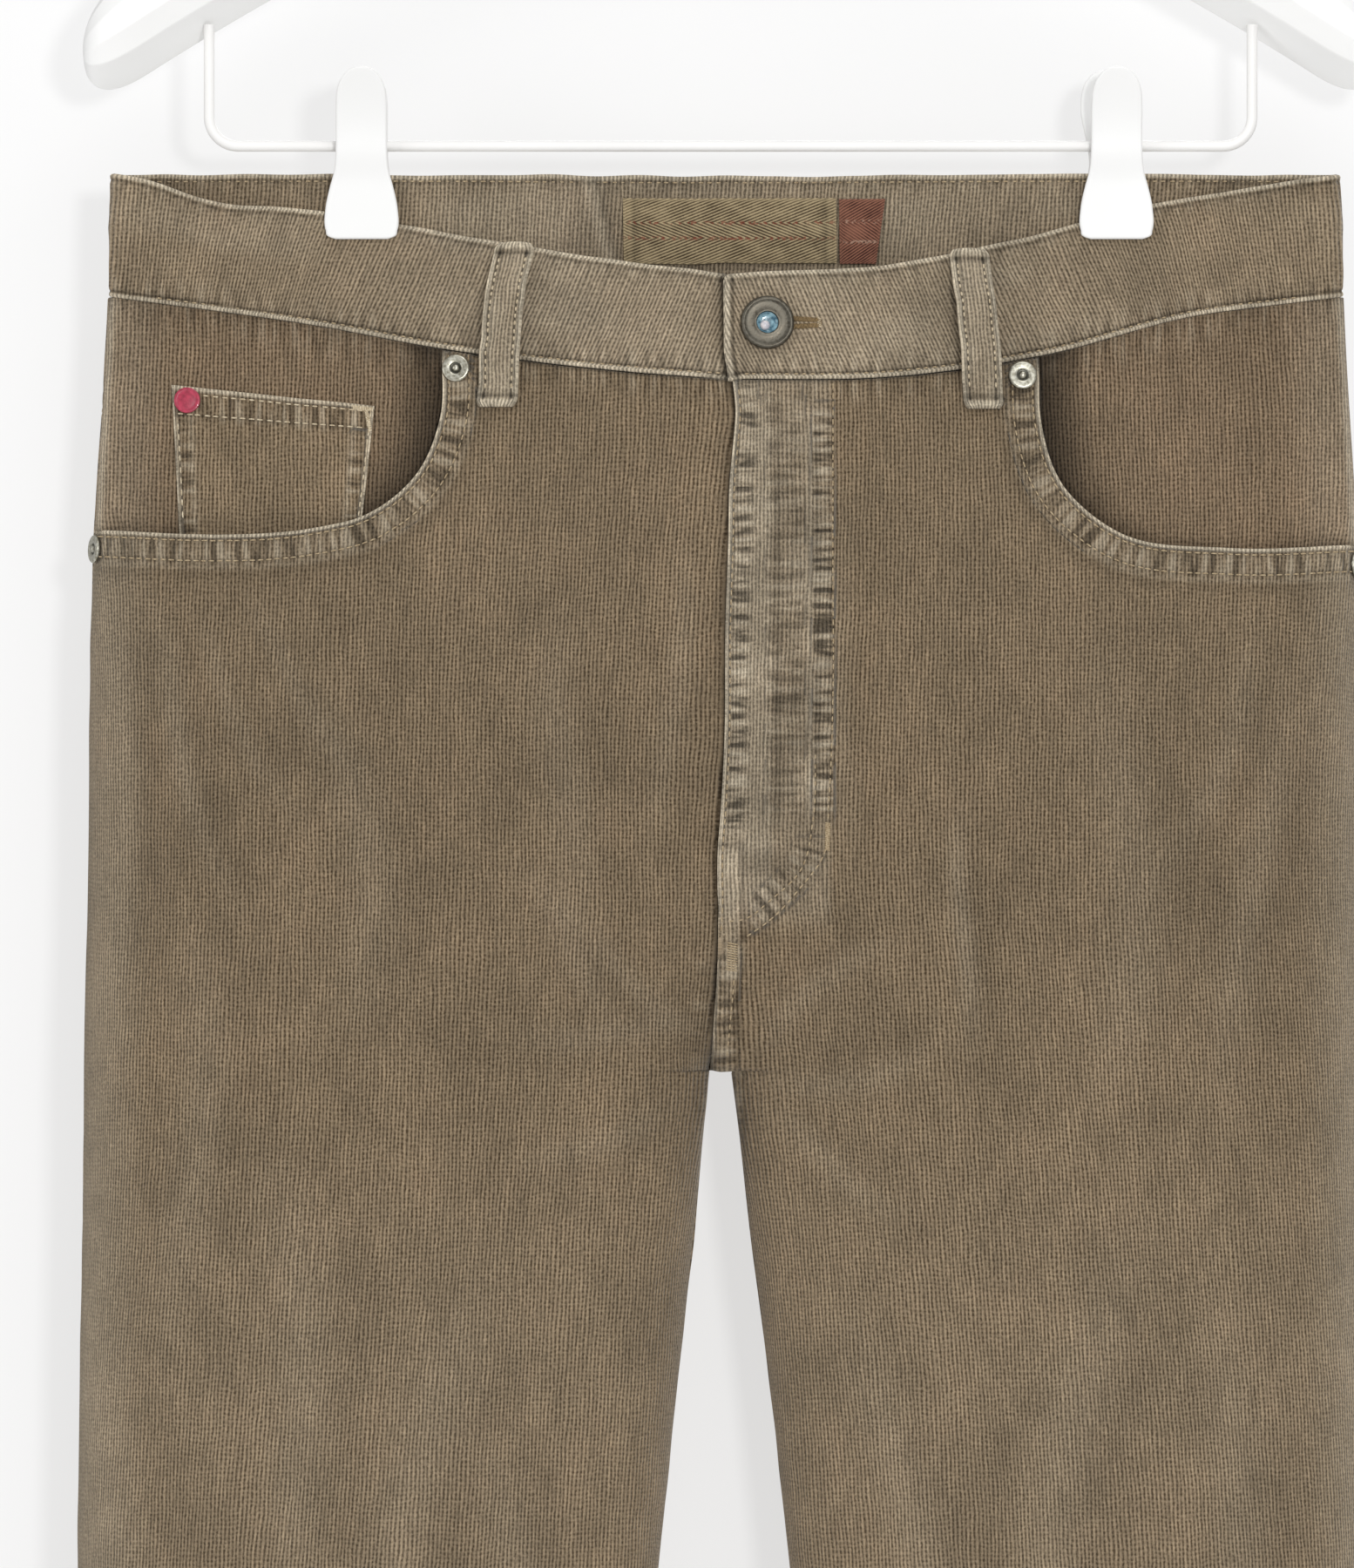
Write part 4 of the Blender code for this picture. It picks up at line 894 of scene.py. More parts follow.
def front_form(side, x, z):
    """How a front panel's face departs from its plain form."""
    x, z = np.broadcast_arrays(np.asarray(x, float), np.asarray(z, float))
    far = np.abs(x)
    relief = Relief(x, z)
    creased(relief, -1, x, z)
    relief.add(HEM_PROUD * (z <= HEM + HEM_TURN) + 0.4 * noise(31 + side, x, z, 26, 60) + 0.2 * noise(33 + side, x, z, 9, 16))
    # Paler at the side seam, a painted sheen where the cloth turns away, and paler down the leg and darker at the hips
    wide = smooth(OUTER, z) - far
    relief.add(wear=0.22 * step(wide, 26, 2) + 0.05 * step(z, -300, -420), shade=0.10 * step(z, -340, -220))
    # The sewn edge of the pocket's mouth
    off, run = near(along(MOUTH[side], 44), far, z)
    relief.gather(step(off, MOUTH_ROWS[1] + 3.0, MOUTH_ROWS[1] - 0.8) * step(off, 1.2, 2.2), run, off)
    band = step(off, MOUTH_ROWS[1] + 1.8, MOUTH_ROWS[1] - 0.4)
    relief.add(band * (0.35 + 0.35 * puckers(40 + side, run, off, 2.4, 8)), 0.08 * band)
    relief.edge(off)
    for at in MOUTH_ROWS:
        relief.row(off, at)
    relief.add(wear=0.16 * bell(off, MOUTH_ROWS[1] + 2.2, 0.9), shade=0.16 * bell(off, MOUTH_ROWS[1] + 4.5, 2.2))
    # Gathers below the waist seam, and a painted shadow just under it
    below = smooth(BAND_SEAM[side], far) - z
    reach = np.exp(-np.clip(below, 0, None) / 8)
    relief.gather(0.6 * step(below, 11, 2), x, below)
    relief.add(0.4 * reach * puckers(44 + side, x, below, 3.6, 40), shade=0.5 * bell(below, 0.3, 1.1))
    # The fly and the seat seam, whose left side laps over the right
    low = step(z, -262, -272)
    if side > 0:
        fly_form(relief, x, z)
        relief.gather(0.95 * low * step(far, 8.5, 6.5) * step(far, 0.8, 1.6), z * 0.8, far)
        relief.add(low * 0.5 * bell(far, 3.6, 2.0), low * (0.5 * bell(far, 0.7, 0.7) + 0.12 * bell(far, 4, 2)))
        relief.add(shade=low * 0.40 * bell(far, 7.8, 0.8))
    else:
        relief.gather(0.3 * low * step(far, 10, 6) * step(far, 1.2, 2.2), z, far)
        # A painted shadow beside the edge of the left panel, which laps over this one
        relief.add(shade=0.2 * step(far, 6, 1) + 0.7 * step(far, 1.6, 0.4))
        tuck(relief, far, z)
    hem_form(relief, x, z)
    return relief


def tuck_share(far, z, full):
    return step(far, TUCK_FROM, full) * step(z, CROTCH + 1, CROTCH + 9)


def tuck(relief, far, z):
    """Flattens a right panel's last strip, which runs on under the left one."""
    relief.out = relief.out * (1 - tuck_share(far, z, 0.4))


def tucked(points, face, far, z):
    """Carries a right panel's last strip on under the left one."""
    points[..., 0] += SEAM_TUCK * tuck_share(far, z, 0.2)
    points[..., 1] -= face * TUCK_DEEP * tuck_share(far, z, 0.4)


def hem_form(relief, x, z):
    turn = HEM + HEM_TURN - z
    relief.gather(0.4 * step(turn, -3, 1), x, turn)
    relief.row(turn, 1.6)
    relief.edge(z - HEM)


def leaned(x, z):
    """Where a front's point is in the picture, by its distance from the centre seam."""
    seam = mix(smooth(LEAN, z), smooth(FRONT_SEAM, z), step(np.abs(x), 18, 0))
    return x + seam * (1 - (x / 216) ** 2)


def fly_route(points, count):
    """A row of stitches given in the picture, as distances from the centre seam."""
    route = along(points, count)
    x = route[:, 0]
    for _ in range(6):
        x = x + route[:, 0] - leaned(x, route[:, 1])
    return np.c_[x, route[:, 1]]


def fly_form(relief, x, z):
    """The lap over the zip: its folded edge, its creases between the edge and the curved rows of stitches."""
    foot = step(z, *FLY_FOOT)
    lap = step(np.abs(x), *FLY_EDGE) * foot
    outer, run = near(fly_route(FLY_OUTER, 40), x, z)
    inner, inner_run = near(fly_route(FLY_INNER, 40), x, z)
    edge, shown = np.clip(x, 0, None), leaned(x, z)
    broad = noise(64, z, x, 7, 14)
    high = step(z, -226, -216)
    inside = step(shown, 37, 34) * step(z, -262, -250)
    relief.gather(1.25 * step(shown, 28.5, 30.5) * step(shown, 37.6, 36.2) * high * step(z, -78, -84), z * 1.15, shown)
    relief.gather(1.05 * step(inner, 6.5, 3.5) * step(z, -226, -234) * step(shown, 7, 10), inner_run * 0.95, inner)
    relief.gather(1.3 * step(edge, 12, 6) * step(edge, 1.4, 2.4) * step(z, -228, -222), z * 1.05, edge)
    relief.gather(0.6 * step(np.abs(shown - 20), 7.5, 5.5) * high, z * 0.75, shown)
    strength = step(z, -76, -100) * high * (0.75 + 0.35 * noise(63, x, z, 30, 14))
    ridges = 0.5 * bell(shown, 28.2, 1.3) - 0.5 * bell(shown, 17.5, 1.7) - 0.3 * bell(shown, 22.5, 2.0)
    ridges = ridges + 0.4 * bell(shown, 8.5, 5.0) - 0.4 * bell(shown, 31.0, 1.6)
    relief.add(FLY_PROUD * lap + inside * (ridges * strength + 0.4 * broad + 0.3 * puckers(60, z, x, 3.0, 9)))
    # The lap is paler. A pale line on the ridge beside the outer row is partly wear and partly painted highlight, broad
    # bumps get a painted highlight and their hollows painted shade
    relief.add(wear=inside * (0.19 + 0.18 * step(shown, 16.5, 14) + 0.30 * strength * bell(shown, 28.4, 1.1)))
    relief.add(wear=inside * 0.14 * np.clip(broad, 0, 1), shade=inside * 0.28 * np.clip(-broad, 0, 1))
    relief.edge(edge, 1.2, 0.95 * foot)
    # Painted shade in the grooves between the ridges
    relief.add(shade=inside * strength * (0.50 * bell(shown, 17.5, 1.6) + 0.24 * bell(shown, 22.5, 1.8) + 0.30 * bell(shown, 31.0, 1.0)))
    relief.row(edge, BAND_ROW + 0.2, foot)
    relief.row(outer, 0, step(z, -76, -84))
    relief.row(inner, 0, step(z, -190, -200))
    # The strip below the lap's end, with painted shade along its side and under the lap's foot, and the pale bartack
    # under it
    low = step(z, -230, -232.5) * step(z, -265, -262)
    relief.add(shade=0.55 * low * bell(shown, 5.4, 0.7) + 0.45 * bell(z, -231, 0.9) * step(shown, 7, 5.5))
    relief.add(wear=0.16 * low * step(shown, 5, 4), shade=0.22 * low * step(shown, 5.5, 7) * step(shown, 22, 12))
    relief.add(wear=0.7 * bell(shown, 2.4, 2.6) * bell(z, -268.5, 4.6))


def spread_t(side, face, z, coarse, fine, fine_x):
    """Columns of a section: coarse ones from the side seam to fine_x, and fine ones on to the centre."""
    if not fine:
        return even_t(side, face, z, coarse + 1)
    outer = even_t(side, face, z, coarse + 1, 0, float(t_of(fine_x, z)), 0.03)
    inner = t_of(np.linspace(fine_x, 0, fine + 1), z)
    return np.r_[outer, inner[1:]]


def panel(side, face, top, inset, section):
    """Rows and columns of t and height for a leg panel below a top edge. section(z) gives the columns of the upper part."""
    upper_rows = np.array(FINE_ROWS)[:, None] / INSET
    x, z = (mix(top[:, k], inset[:, k], upper_rows) for k in (0, 1))
    t = t_of(x, z)
    t[:, 0], t[:, -1] = 0, 1
    even = section(PANEL_EVEN)
    down = np.linspace(0, 1, 34)[1:-1, None]
    t = np.r_[t, mix(t[-1], even, down)]
    z = np.r_[z, mix(z[-1], PANEL_EVEN, down)]
    turn = HEM + HEM_TURN
    rows = np.r_[
        np.linspace(PANEL_EVEN, CROTCH, 62)[:-1], CROTCH + np.array([1.3, 0.6, 0.25, NOTCH, 0]), CROTCH - 1, CROTCH - 2.5, np.linspace(CROTCH - 5, -480, 70),
        np.linspace(-486, turn + 6, 98), turn + np.array([3, 1.2, 0.6, 0, -0.8, -1.6, -2.6]),
        np.linspace(turn - 5, HEM + 3, 6), HEM + np.array([1.6, 0.8, 0]),
    ][:, None]
    columns = len(even)
    thigh, hem = (even_t(side, face, level, columns) for level in (THIGH, HEM))
    lower = np.where(
        rows > THIGH,
        mix(even, thigh, step(rows, PANEL_EVEN, THIGH)),
        mix(thigh, hem, np.clip((THIGH - rows) / (THIGH - HEM), 0, 1)),
    )
    return np.r_[t, lower], np.r_[z, rows + 0 * lower]


def front(name, side):
    mouth = along(MOUTH[side], 60, 1.0)
    corner = mouth[-1, 0]
    fine, fine_x = (42, 42.0) if side > 0 else (16, 13.0)
    coarse_seam = int((corner - fine_x) / 2.4)
    seam_x = np.r_[np.linspace(corner, fine_x, coarse_seam + 1), np.linspace(fine_x, 0, fine + 1)[1:]][1:]
    seam = np.c_[seam_x, smooth(BAND_SEAM[side], seam_x) - SEAM]
    mouth[-1, 1] = smooth(BAND_SEAM[side], corner) - SEAM
    left_of = beside(mouth, INSET)
    end = np.cumsum(np.r_[0, np.hypot(*np.diff(mouth[::-1], axis=0).T)])[::-1]
    left_of[:, 1] -= INSET * step(end, 2 * INSET, 0)
    under = seam - np.c_[INSET * step(corner - seam_x, 2 * INSET, 0), INSET + 0 * seam_x]
    left_of[-1] = mouth[-1] - INSET
    top, inset = np.r_[mouth, seam], np.r_[left_of, under]
    coarse = len(top) - 1 - fine
    t, z = panel(side, -1, top, inset, lambda level: spread_t(side, -1, level, coarse, fine, fine_x))
    relief = front_form(side, side * across(t, z), z)
    outside = lifted(side, -1, t, z, relief.out)
    inside = lifted(side, -1, t, z, np.minimum(relief.out, 0) - CLOTH)
    if side < 0:
        tucked(outside, -1, across(t, z), z)
        tucked(inside, -1, across(t, z), z)
    grain = grain_across(side, -1, t, z), z
    cloth(name, outside, inside, grain, relief.form())
    return outside


def on_front(side):
    """Where a point of a front panel's face is, above the crotch."""
    return lambda x, z, out: placed(-1, x, z, front_form(side, x, z).out + out)


def facing_form(side, x, z):
    """Depth of a pocket facing's face: seated at the waist and side seams and deeper in the middle."""
    mouth = along(MOUTH[side], 40)
    wide, tall = smooth(OUTER, z) - x, smooth(BAND_SEAM[side], x) - z
    inside = step(wide, 2, 2 + FACING_RAMP) * step(tall, 2, 2 + FACING_RAMP)
    below = np.interp(x, mouth[::-1, 0], mouth[::-1, 1]) - z
    hidden = step(below, -8, 0)
    return -CLOTH - SEAM - np.maximum(FACING_SUNK * inside, (FACING_SUNK + FACING_CLEAR) * hidden)


def facing(name, side):
    mouth = along(MOUTH[side], 40)
    t = even_t(side, -1, -70, 56, 0, float(t_of(mouth[-1, 0] - FACING_IN, -70)))
    x = across(t, -70)
    top = smooth(BAND_SEAM[side], x) - 0.08
    bottom = np.interp(x, mouth[::-1, 0], mouth[::-1, 1]) - FACING_BELOW
    line = bottom + FACING_BELOW
    z = np.r_[mix(top, line, np.linspace(0, 1, 34)[:, None]), line - np.array([0.5, 1.2, 2.2, 5, 9, FACING_BELOW])[:, None]]
    t = t + 0 * z
    x = across(t, z)
    deep = facing_form(side, x, z)
    relief = Relief(x, z)
    wide, below = smooth(OUTER, z) - x, np.interp(x, mouth[::-1, 0], mouth[::-1, 1]) - z
    under = smooth(BAND_SEAM[side], x) - z
    rise = (-deep - 0.1) * step(wide, 9, 1) * step(below, 1.0, 0.0)
    rise = np.maximum(rise, (CLOTH + SEAM - 0.3) * step(under, 9, 0.5) * step(below, 0, -6))
    ripple = puckers(70 + side, x, under, 5, 60) * np.exp(-under / 12)
    relief.add(deep + 0.3 * ripple - 0.12 * step(rise, 0.5, 0) + rise)
    relief.gather(0.5 * step(under, 14, 2), x, under)
    off, _ = near(mouth, x, z)
    curve = step(x, mouth[0, 0] - 60, mouth[-1, 0])
    # Painted shadow inside the pocket, deepest by the mouth's curve, and under the waistband
    relief.add(shade=(0.25 + 0.68 * curve) * step(off, 4 + 26 * curve, 0) + 0.25 * step(under, 4, 1))
    # Worn pale at the side seam's edge, and a painted sheen where the facing turns away
    relief.add(wear=0.45 * bell(wide, 1.4, 1.2) + 0.14 * step(wide, 26, 6))
    outside, inside = lifted(side, -1, t, z, relief.out), lifted(side, -1, t, z, deep - CLOTH)
    grain = grain_across(side, -1, t, z) + 0.7, z
    cloth(name, outside, inside, grain, relief.form(), "cord_facing", rim=0.3)


def coin_place(right, down):
    corners = np.array(COIN)
    return [mix(mix(corners[0, k], corners[1, k], right), mix(corners[2, k], corners[3, k], right), down) for k in (0, 1)]


def coin_form(right, down):
    """Relief of the coin pocket, by the shares of its width and height."""
    wide, tall = right * 69, down * 44
    relief = Relief(right, down)
    sides = np.minimum(wide, 69 - wide)
    hem = step(sides, 8, 5)
    relief.gather(0.9 * step(tall, 11, 8) * step(tall, 1.4, 2.4), wide, tall)
    relief.gather(0.95 * hem * step(sides, 1.2, 2.0) * step(tall, 8, 10), tall, sides)
    relief.add(0.35 * noise(84, wide, tall, 14, 12) + 0.35 * hem * puckers(82, tall, wide, 4.5, 8))
    for at in COIN_ROWS:
        relief.row(tall, at)
    relief.row(sides, 1.6)
    # A ridge inside each side's hem, and a painted shadow at the foot, under the mouth's edge
    relief.add(0.25 * bell(sides, 6.4, 1.2), 0.2 * bell(sides, 6.4, 1.0), 0.25 * step(down, 0.75, 0.92))
    relief.add(-0.5 * step(down, 0.88, 0.96))
    relief.edge(tall, 1.1, 0.9)
    relief.edge(sides, 0.9, 0.8)
    return relief


def coin_pocket(name):
    right = np.r_[0, 0.012, np.linspace(0.03, 0.97, 48), 0.988, 1]
    down = np.r_[0, 0.02, np.linspace(0.04, 1, 34)][:, None]
    x, z = coin_place(right, down)
    relief = coin_form(right, down)
    outside = placed(-1, x, z, COIN_FACE + relief.out)
    inside = placed(-1, x, z, COIN_FACE - CLOTH + SEAM + 0 * x)
    cloth(name, outside, inside, (x, z), relief.form(), rim=0.6)

    def at(a, b, out):
        a, b = a / 69, b / 44
        return placed(-1, *coin_place(a, b), COIN_FACE + coin_form(a, b).out + out)

    line = lambda *points: along(points, 30)
    stitches = [row_of(line((1, row), (68, row)), 3.1, seed=row_seed) for row_seed, row in enumerate(COIN_ROWS)]
    stitches += [row_of(line((68, 2), (67.6, 40)), 3.1, seed=3), row_of(line((1.6, 10), (1.8, 40)), 3.1, seed=4)]
    stitches += [bartack((62, 1.4), (68.4, 1.4), 1.8), bartack((66.5, 2), (68.4, 9), 1.6)]
    sewn("stitches_coin_pocket", at, np.concatenate(stitches), "pale_thread")


# --- Waistband


def front_height(table, x):
    return np.where(x < 0, smooth(table[-1], -x), smooth(table[1], x))


def band_form(x, below_top, above_seam, seed):
    """Relief of the folded waistband beside its top and bottom edges."""
    relief = Relief(x, below_top, above_seam)
    wave = noise(seed + 5, x, below_top, 17, 14)
    # Painted shade in the hollows of the band's waves
    relief.add(0.4 * wave + 0.2 * noise(seed + 9, x + below_top, below_top, 6, 9), shade=0.2 * np.clip(-wave, 0, 1))
    relief.gather(0.55 * step(above_seam, 11, 3) * step(above_seam, 1.4, 2.2), x, above_seam)
    relief.gather(0.4 * step(below_top, 7, 3) * step(below_top, 1.4, 2.2), x, below_top)
    frayed = 0.85 + 0.35 * noise(seed + 7, x, below_top, 3, 5)
    relief.edge(above_seam, 1.4, 0.98 * frayed)
    relief.edge(below_top, 1.4, 0.9 * frayed)
    relief.add(wear=0.15 * step(np.abs(x), 175, 60) + 0.09 + 0.12 * np.clip(noise(seed + 8, x, below_top, 30, 12), 0, 1))
    broken = 0.6 + 0.6 * noise(seed + 6, x, above_seam, 1.5, 9)
    relief.row(above_seam, BAND_ROW + 0.45, 1 + broken)
    relief.row(below_top, BAND_ROW + 0.6, 0.5 + broken)
    return relief


def band_z(top, seam, count):
    """Heights of the waistband's rows, close together beside both edges."""
    fine = np.array([0, 1.1, 1.5, 1.9, 2.3, 2.8, 3.6, 4.8])[:, None]
    down = np.linspace(0, 1, count)[1:-1, None]
    return np.r_[top - fine, mix(top - fine[-1], seam + fine[-1], down), seam + fine[::-1]]


def band_rows(count):
    """Shares of a patch's height, closer at both edges."""
    u = np.linspace(0, 1, count)
    return (u - 0.05 * np.sin(2 * pi * u))[:, None]


def slant(x, z, lean, straight):
    """Grain coordinates of ribs that lean by lean, less so towards the sides."""
    by = lean * step(np.abs(x), 215, 130) + straight
    return (x - (z + 40) * by) / np.sqrt(1 + by * by), z


def front_band(name, side):
    x = side * across(even_t(side, -1, -20, 118), -20)
    x[-1] = LAP_EDGE if side < 0 else LAP_END
    if side > 0:
        x = np.r_[x[x > 6], 4.6, 3.8, 3.1, 2.5, 1.9, 1.2, 0.5, -0.1, -0.5, -0.8, LAP_END]
    if side < 0:
        x = np.r_[x[x < LAP_RAMP[0] - 1], np.arange(LAP_RAMP[0], 8, 1.5), 14, 20, 27, UNDERLAP]
    past = UNDERLAP_SHORT * (x * side < 0) * (side < 0)
    top, seam = front_height(BAND_TOP, x) - past, front_height(BAND_SEAM, x) + past
    top = top + 0.35 * noise(90 + side, x, 0, 13, 9)
    if side > 0:
        corner = np.clip(1 - (x - LAP_END) / LAP_ROUND, 0, 1)
        top = top - LAP_ROUND * (1 - np.sqrt(1 - corner**2))
        seam = seam - 0.9 * step(x, 5, LAP_END)
    z = band_z(top, seam, 20)
    x = x + 0 * z
    relief = band_form(x, top - z, z - seam, 92 + side)
    if side > 0:
        end = x - LAP_END
        relief.edge(end, 2.3, 0.95)
        relief.row(end, 3.2, 1.7)
        relief.add(0.6 * step(end, 4, 1.5))
        sunk = 0 * x
    else:
        under = step(x, *LAP_RAMP)
        sunk = under * (BAND_PROUD + BAND_DEEP + SEAM)
        relief.out = relief.out * (1 - under) - sunk
        # Painted shadow where this band runs under the left one's end
        relief.add(shade=0.25 * step(x, -7, -2) + 0.6 * step(x, -3.4, -1.6))
    outside, inside = placed(-1, x, z, BAND_PROUD + relief.out), placed(-1, x, z, -BAND_DEEP - sunk)
    cloth(name, outside, inside, slant(x, z, -0.36 * side, -0.06 * side), relief.form(), rim=1.0)


def back_seam(x):
    return mix(BACK_SEAM_CENTRE, BACK_SEAM_SIDE, np.abs(x) / 213)


def back_band(name):
    half = across(even_t(-1, 1, -20, 100), -20)
    x = np.r_[-half[:-1], 0, half[-2::-1]]
    wave = 0.4 * noise(100, x, 0, 15, 9) * step(np.abs(x), 205, 190)
    top, seam = 0 * x + wave, back_seam(x)
    z = band_z(top, seam, 18)
    x = x + 0 * z
    relief = band_form(x, top - z, z - seam, 101)
    # A fold inside the band, with a painted highlight on its crest and painted shade beside it, and the whole band a
    # little darker by painted shade
    fold = bell(x + 0.25 * (z + 20), -43, 2.2)
    inner = 0.25 * noise(106, x, z, 6, 30) + 0.9 * fold
    relief.add(wear=0.35 * fold, shade=0.35 * bell(x + 0.25 * (z + 20), -40, 1.5) + 0.12)
    outside, inside = placed(1, x, z, BAND_PROUD + relief.out), placed(1, x, z, -BAND_DEEP - inner * step(z, -38, -30))
    cloth(name, outside, inside, slant(x, z, 0.0, 0.08), relief.form(), rim=1.0)


def band_tape(name, x0, x1, z0, z1, look):
    x, down = np.linspace(x0, x1, int((x1 - x0) / 1.2)), np.linspace(0, 1, 20)[:, None]
    z = mix(z0, z1 + 0 * x, down) + 0.3 * noise(110, x, 0, 12, 9) * (0.3 + down)
    x = x + 0 * z
    side_off = np.minimum(x - x0, x1 - x)
    slanted = x + (RED_TAPE_SLANT * (0.5 - down) * (x - x0) / (x1 - x0) if look == "red_tape" else 0)
    edge = np.minimum(side_off, np.minimum(z0 - z, z - z1))
    under = -BAND_DEEP - SEAM - 0.15
    bulge = 0.5 * bell(side_off, 2.2, 1.2) + 0.3 * noise(112, x, z, 9, 14)
    relief = Relief(x, z)
    relief.edge(edge, 1.0, 0.6)
    # A painted highlight on the turned ends' bulge, and on the plain tape painted shade just inside it
    relief.add(wear=0.3 * bell(side_off, 2.2, 1.0), shade=0.4 * bell(side_off, 4.2, 0.9) * (look == "tape"))
    if look == "red_tape":
        relief.add(wear=0.7 * bell(np.hypot(x - 44.5, (z + 19) * 0.8), 0, 3.2))
    outside = placed(1, slanted, z, under + 0 * z)
    inside = placed(1, slanted, z, under - TAPE - bulge)
    cloth(name, outside, inside, (x, z), relief.form(), look, look, 0.35)


def loop(name, face, x_top, x_bottom, z_top, z_bottom):
    """A belt loop: sewn down at its ends, with two rows of stitches, pale edges and a thick worn end."""
    side = 1 if x_top > 0 else -1
    long = z_top - z_bottom
    seed = 120 + LOOPS.index((name, face, x_top, x_bottom, z_top, z_bottom)) * 3

    def place(a, run):
        share = run / long
        sway = 0.45 * noise(seed, 0, run, 9, 16) + 0.25 * noise(seed + 1, a, run, 5, 5)
        end = np.minimum(run, long - run)
        narrow = 1 - 0.2 * np.clip(1 - end / 2.6, 0, 1) ** 2
        return mix(x_top, x_bottom, share) + a * narrow + sway, z_top - run - 0.012 * a * a * step(run, 6, 0)

    def under(a, run):
        x, z = place(a, run)
        seam = smooth(BAND_SEAM[side], np.abs(x)) if face < 0 else back_seam(x)
        share = run / long
        stand = (LOOP_STAND - LAID) * step(share, 0.05, 0.33) * step(share, 0.95, 0.67)
        return LAID + BAND_PROUD * step(z, seam - 4, seam - 1) + stand

    def form(a, run):
        off, end = np.abs(a), np.minimum(run, long - run)
        relief = Relief(a, run)
        relief.add(0.35 * bell(off, LOOP_HALF - 1.3, 1.2) + 0.3 * step(off, 3.9, 2.6) + 0.25 * puckers(seed + 1, run, a, 3, 5))
        relief.add(0.75 * bell(end, 1.3, 1.3) - 0.35 * bell(end, 3.9, 0.7), 0.42 + 0.14 * noise(seed + 2, a, run, 4, 13))
        frayed = 1 + 0.35 * noise(seed + 2, a, run, 2.5, 4)
        relief.add(wear=frayed * (0.92 * step(off, LOOP_HALF - 1.8, LOOP_HALF - 1.0) + 0.92 * step(end, 3.0, 2.0)))
        relief.row(off, LOOP_ROW, 1.9 * step(end, 2, 3.5))
        relief.row(end, 3.9, 1.4, 0.8)
        relief.gather(0.5 * step(off, 3.4, 4.6) * step(off, 6.0, 5.4), run, a)
        return relief

    a = np.r_[-6.9, -6.0, -5.4, -5.0, -4.6, -4.2, -3.6, -2.8, -1.5, 0]
    a = np.r_[a, -a[-2::-1]]
    run = np.r_[0, 0.8, 1.5, 2.1, 2.7, 3.3, 3.9, 4.6, np.linspace(5.6, long - 5.6, 36)]
    run = np.r_[run, long - run[7::-1]][:, None]
    a, run = np.broadcast_arrays(a, run)
    relief = form(a, run)
    x, z = place(a, run)
    low = under(a, run)
    outside = placed(face, x, z, low + LOOP_THICK - 0.3 + relief.out)
    band = f"cloth_waistband_{name.split('_')[-1]}" if face < 0 else "cloth_waistband_back"
    cloth(name, outside, placed(face, x, z, low), (a, z), relief.form(), rim=0.75)
    at = lambda a, run, out: placed(face, *place(a, run), under(a, run) + LOOP_THICK - 0.3 + form(a, run).out + out)
    stitches = [row_of(along(((s * LOOP_ROW, 5), (s * LOOP_ROW, long - 6)), 30), 2.6, 1.6, seed + s) for s in (-1, 1)]
    sewn(f"stitches_{name}", at, np.concatenate(stitches), "pale_thread", 0.34)


# --- Back


def yoke_seam(x):
    return mix(YOKE_CENTRE, YOKE_SIDE, np.clip(np.abs(x) / 214, 0, 1))


def back_form(side, x, z):
    x, z = np.broadcast_arrays(np.asarray(x, float), np.asarray(z, float))
    far = np.abs(x)
    below = yoke_seam(x) - z
    relief = Relief(x, z)
    creased(relief, 1, x, z)
    relief.add(HEM_PROUD * (z <= HEM + HEM_TURN) + 0.4 * noise(131 + side, x, z, 28, 55) + 0.2 * noise(133 + side, x, z, 9, 16))
    # Paler at the side seams, a painted sheen where the cloth turns away, and a little paler overall
    relief.add(wear=0.15 * step(smooth(OUTER, z) - far, 24, 2) + 0.05)
    relief.add(0.3 * puckers(136 + side, x, below, 3.4, 30) * np.exp(-np.abs(below) / 6))
    relief.gather(0.8 * step(np.abs(below + 3), 10, 6) * step(np.abs(below), 1.2, 2.2), x, below)
    relief.edge(np.abs(below), 1.0, 0.7)
    for at in (2.2, 8.2):
        relief.row(below, -at)
    rise = step(z, CROTCH, CROTCH + 8)
    relief.gather((0.9 if side > 0 else 0.3) * rise * step(far, 11, 8) * step(far, 1.2, 2.2), z, far)
    if side > 0:
        relief.add(0.4 * rise * step(far, 9.5, 8.5), 0.6 * rise * step(far, 1.5, 0.7))
    else:
        relief.add(shade=0.45 * rise * step(far, 1.6, 0.4))
        tuck(relief, far, z)
    hem_form(relief, x, z)
    return relief


def on_back(side):
    return lambda x, z, out: placed(1, x, z, back_form(side, x, z).out + out)


def back(name, side):
    section = lambda level: even_t(side, 1, level, 92)
    x = across(section(YOKE_SIDE), YOKE_SIDE)
    top = np.c_[x, yoke_seam(x) - SEAM]
    t, z = panel(side, 1, top, top - (0, INSET), section)
    relief = back_form(side, side * across(t, z), z)
    outside = lifted(side, 1, t, z, relief.out)
    inside = lifted(side, 1, t, z, np.minimum(relief.out, 0) - CLOTH)
    if side < 0:
        tucked(outside, 1, across(t, z), z)
        tucked(inside, 1, across(t, z), z)
    grain = grain_across(side, 1, t, z), z
    cloth(name, outside, inside, grain, relief.form())
    return outside


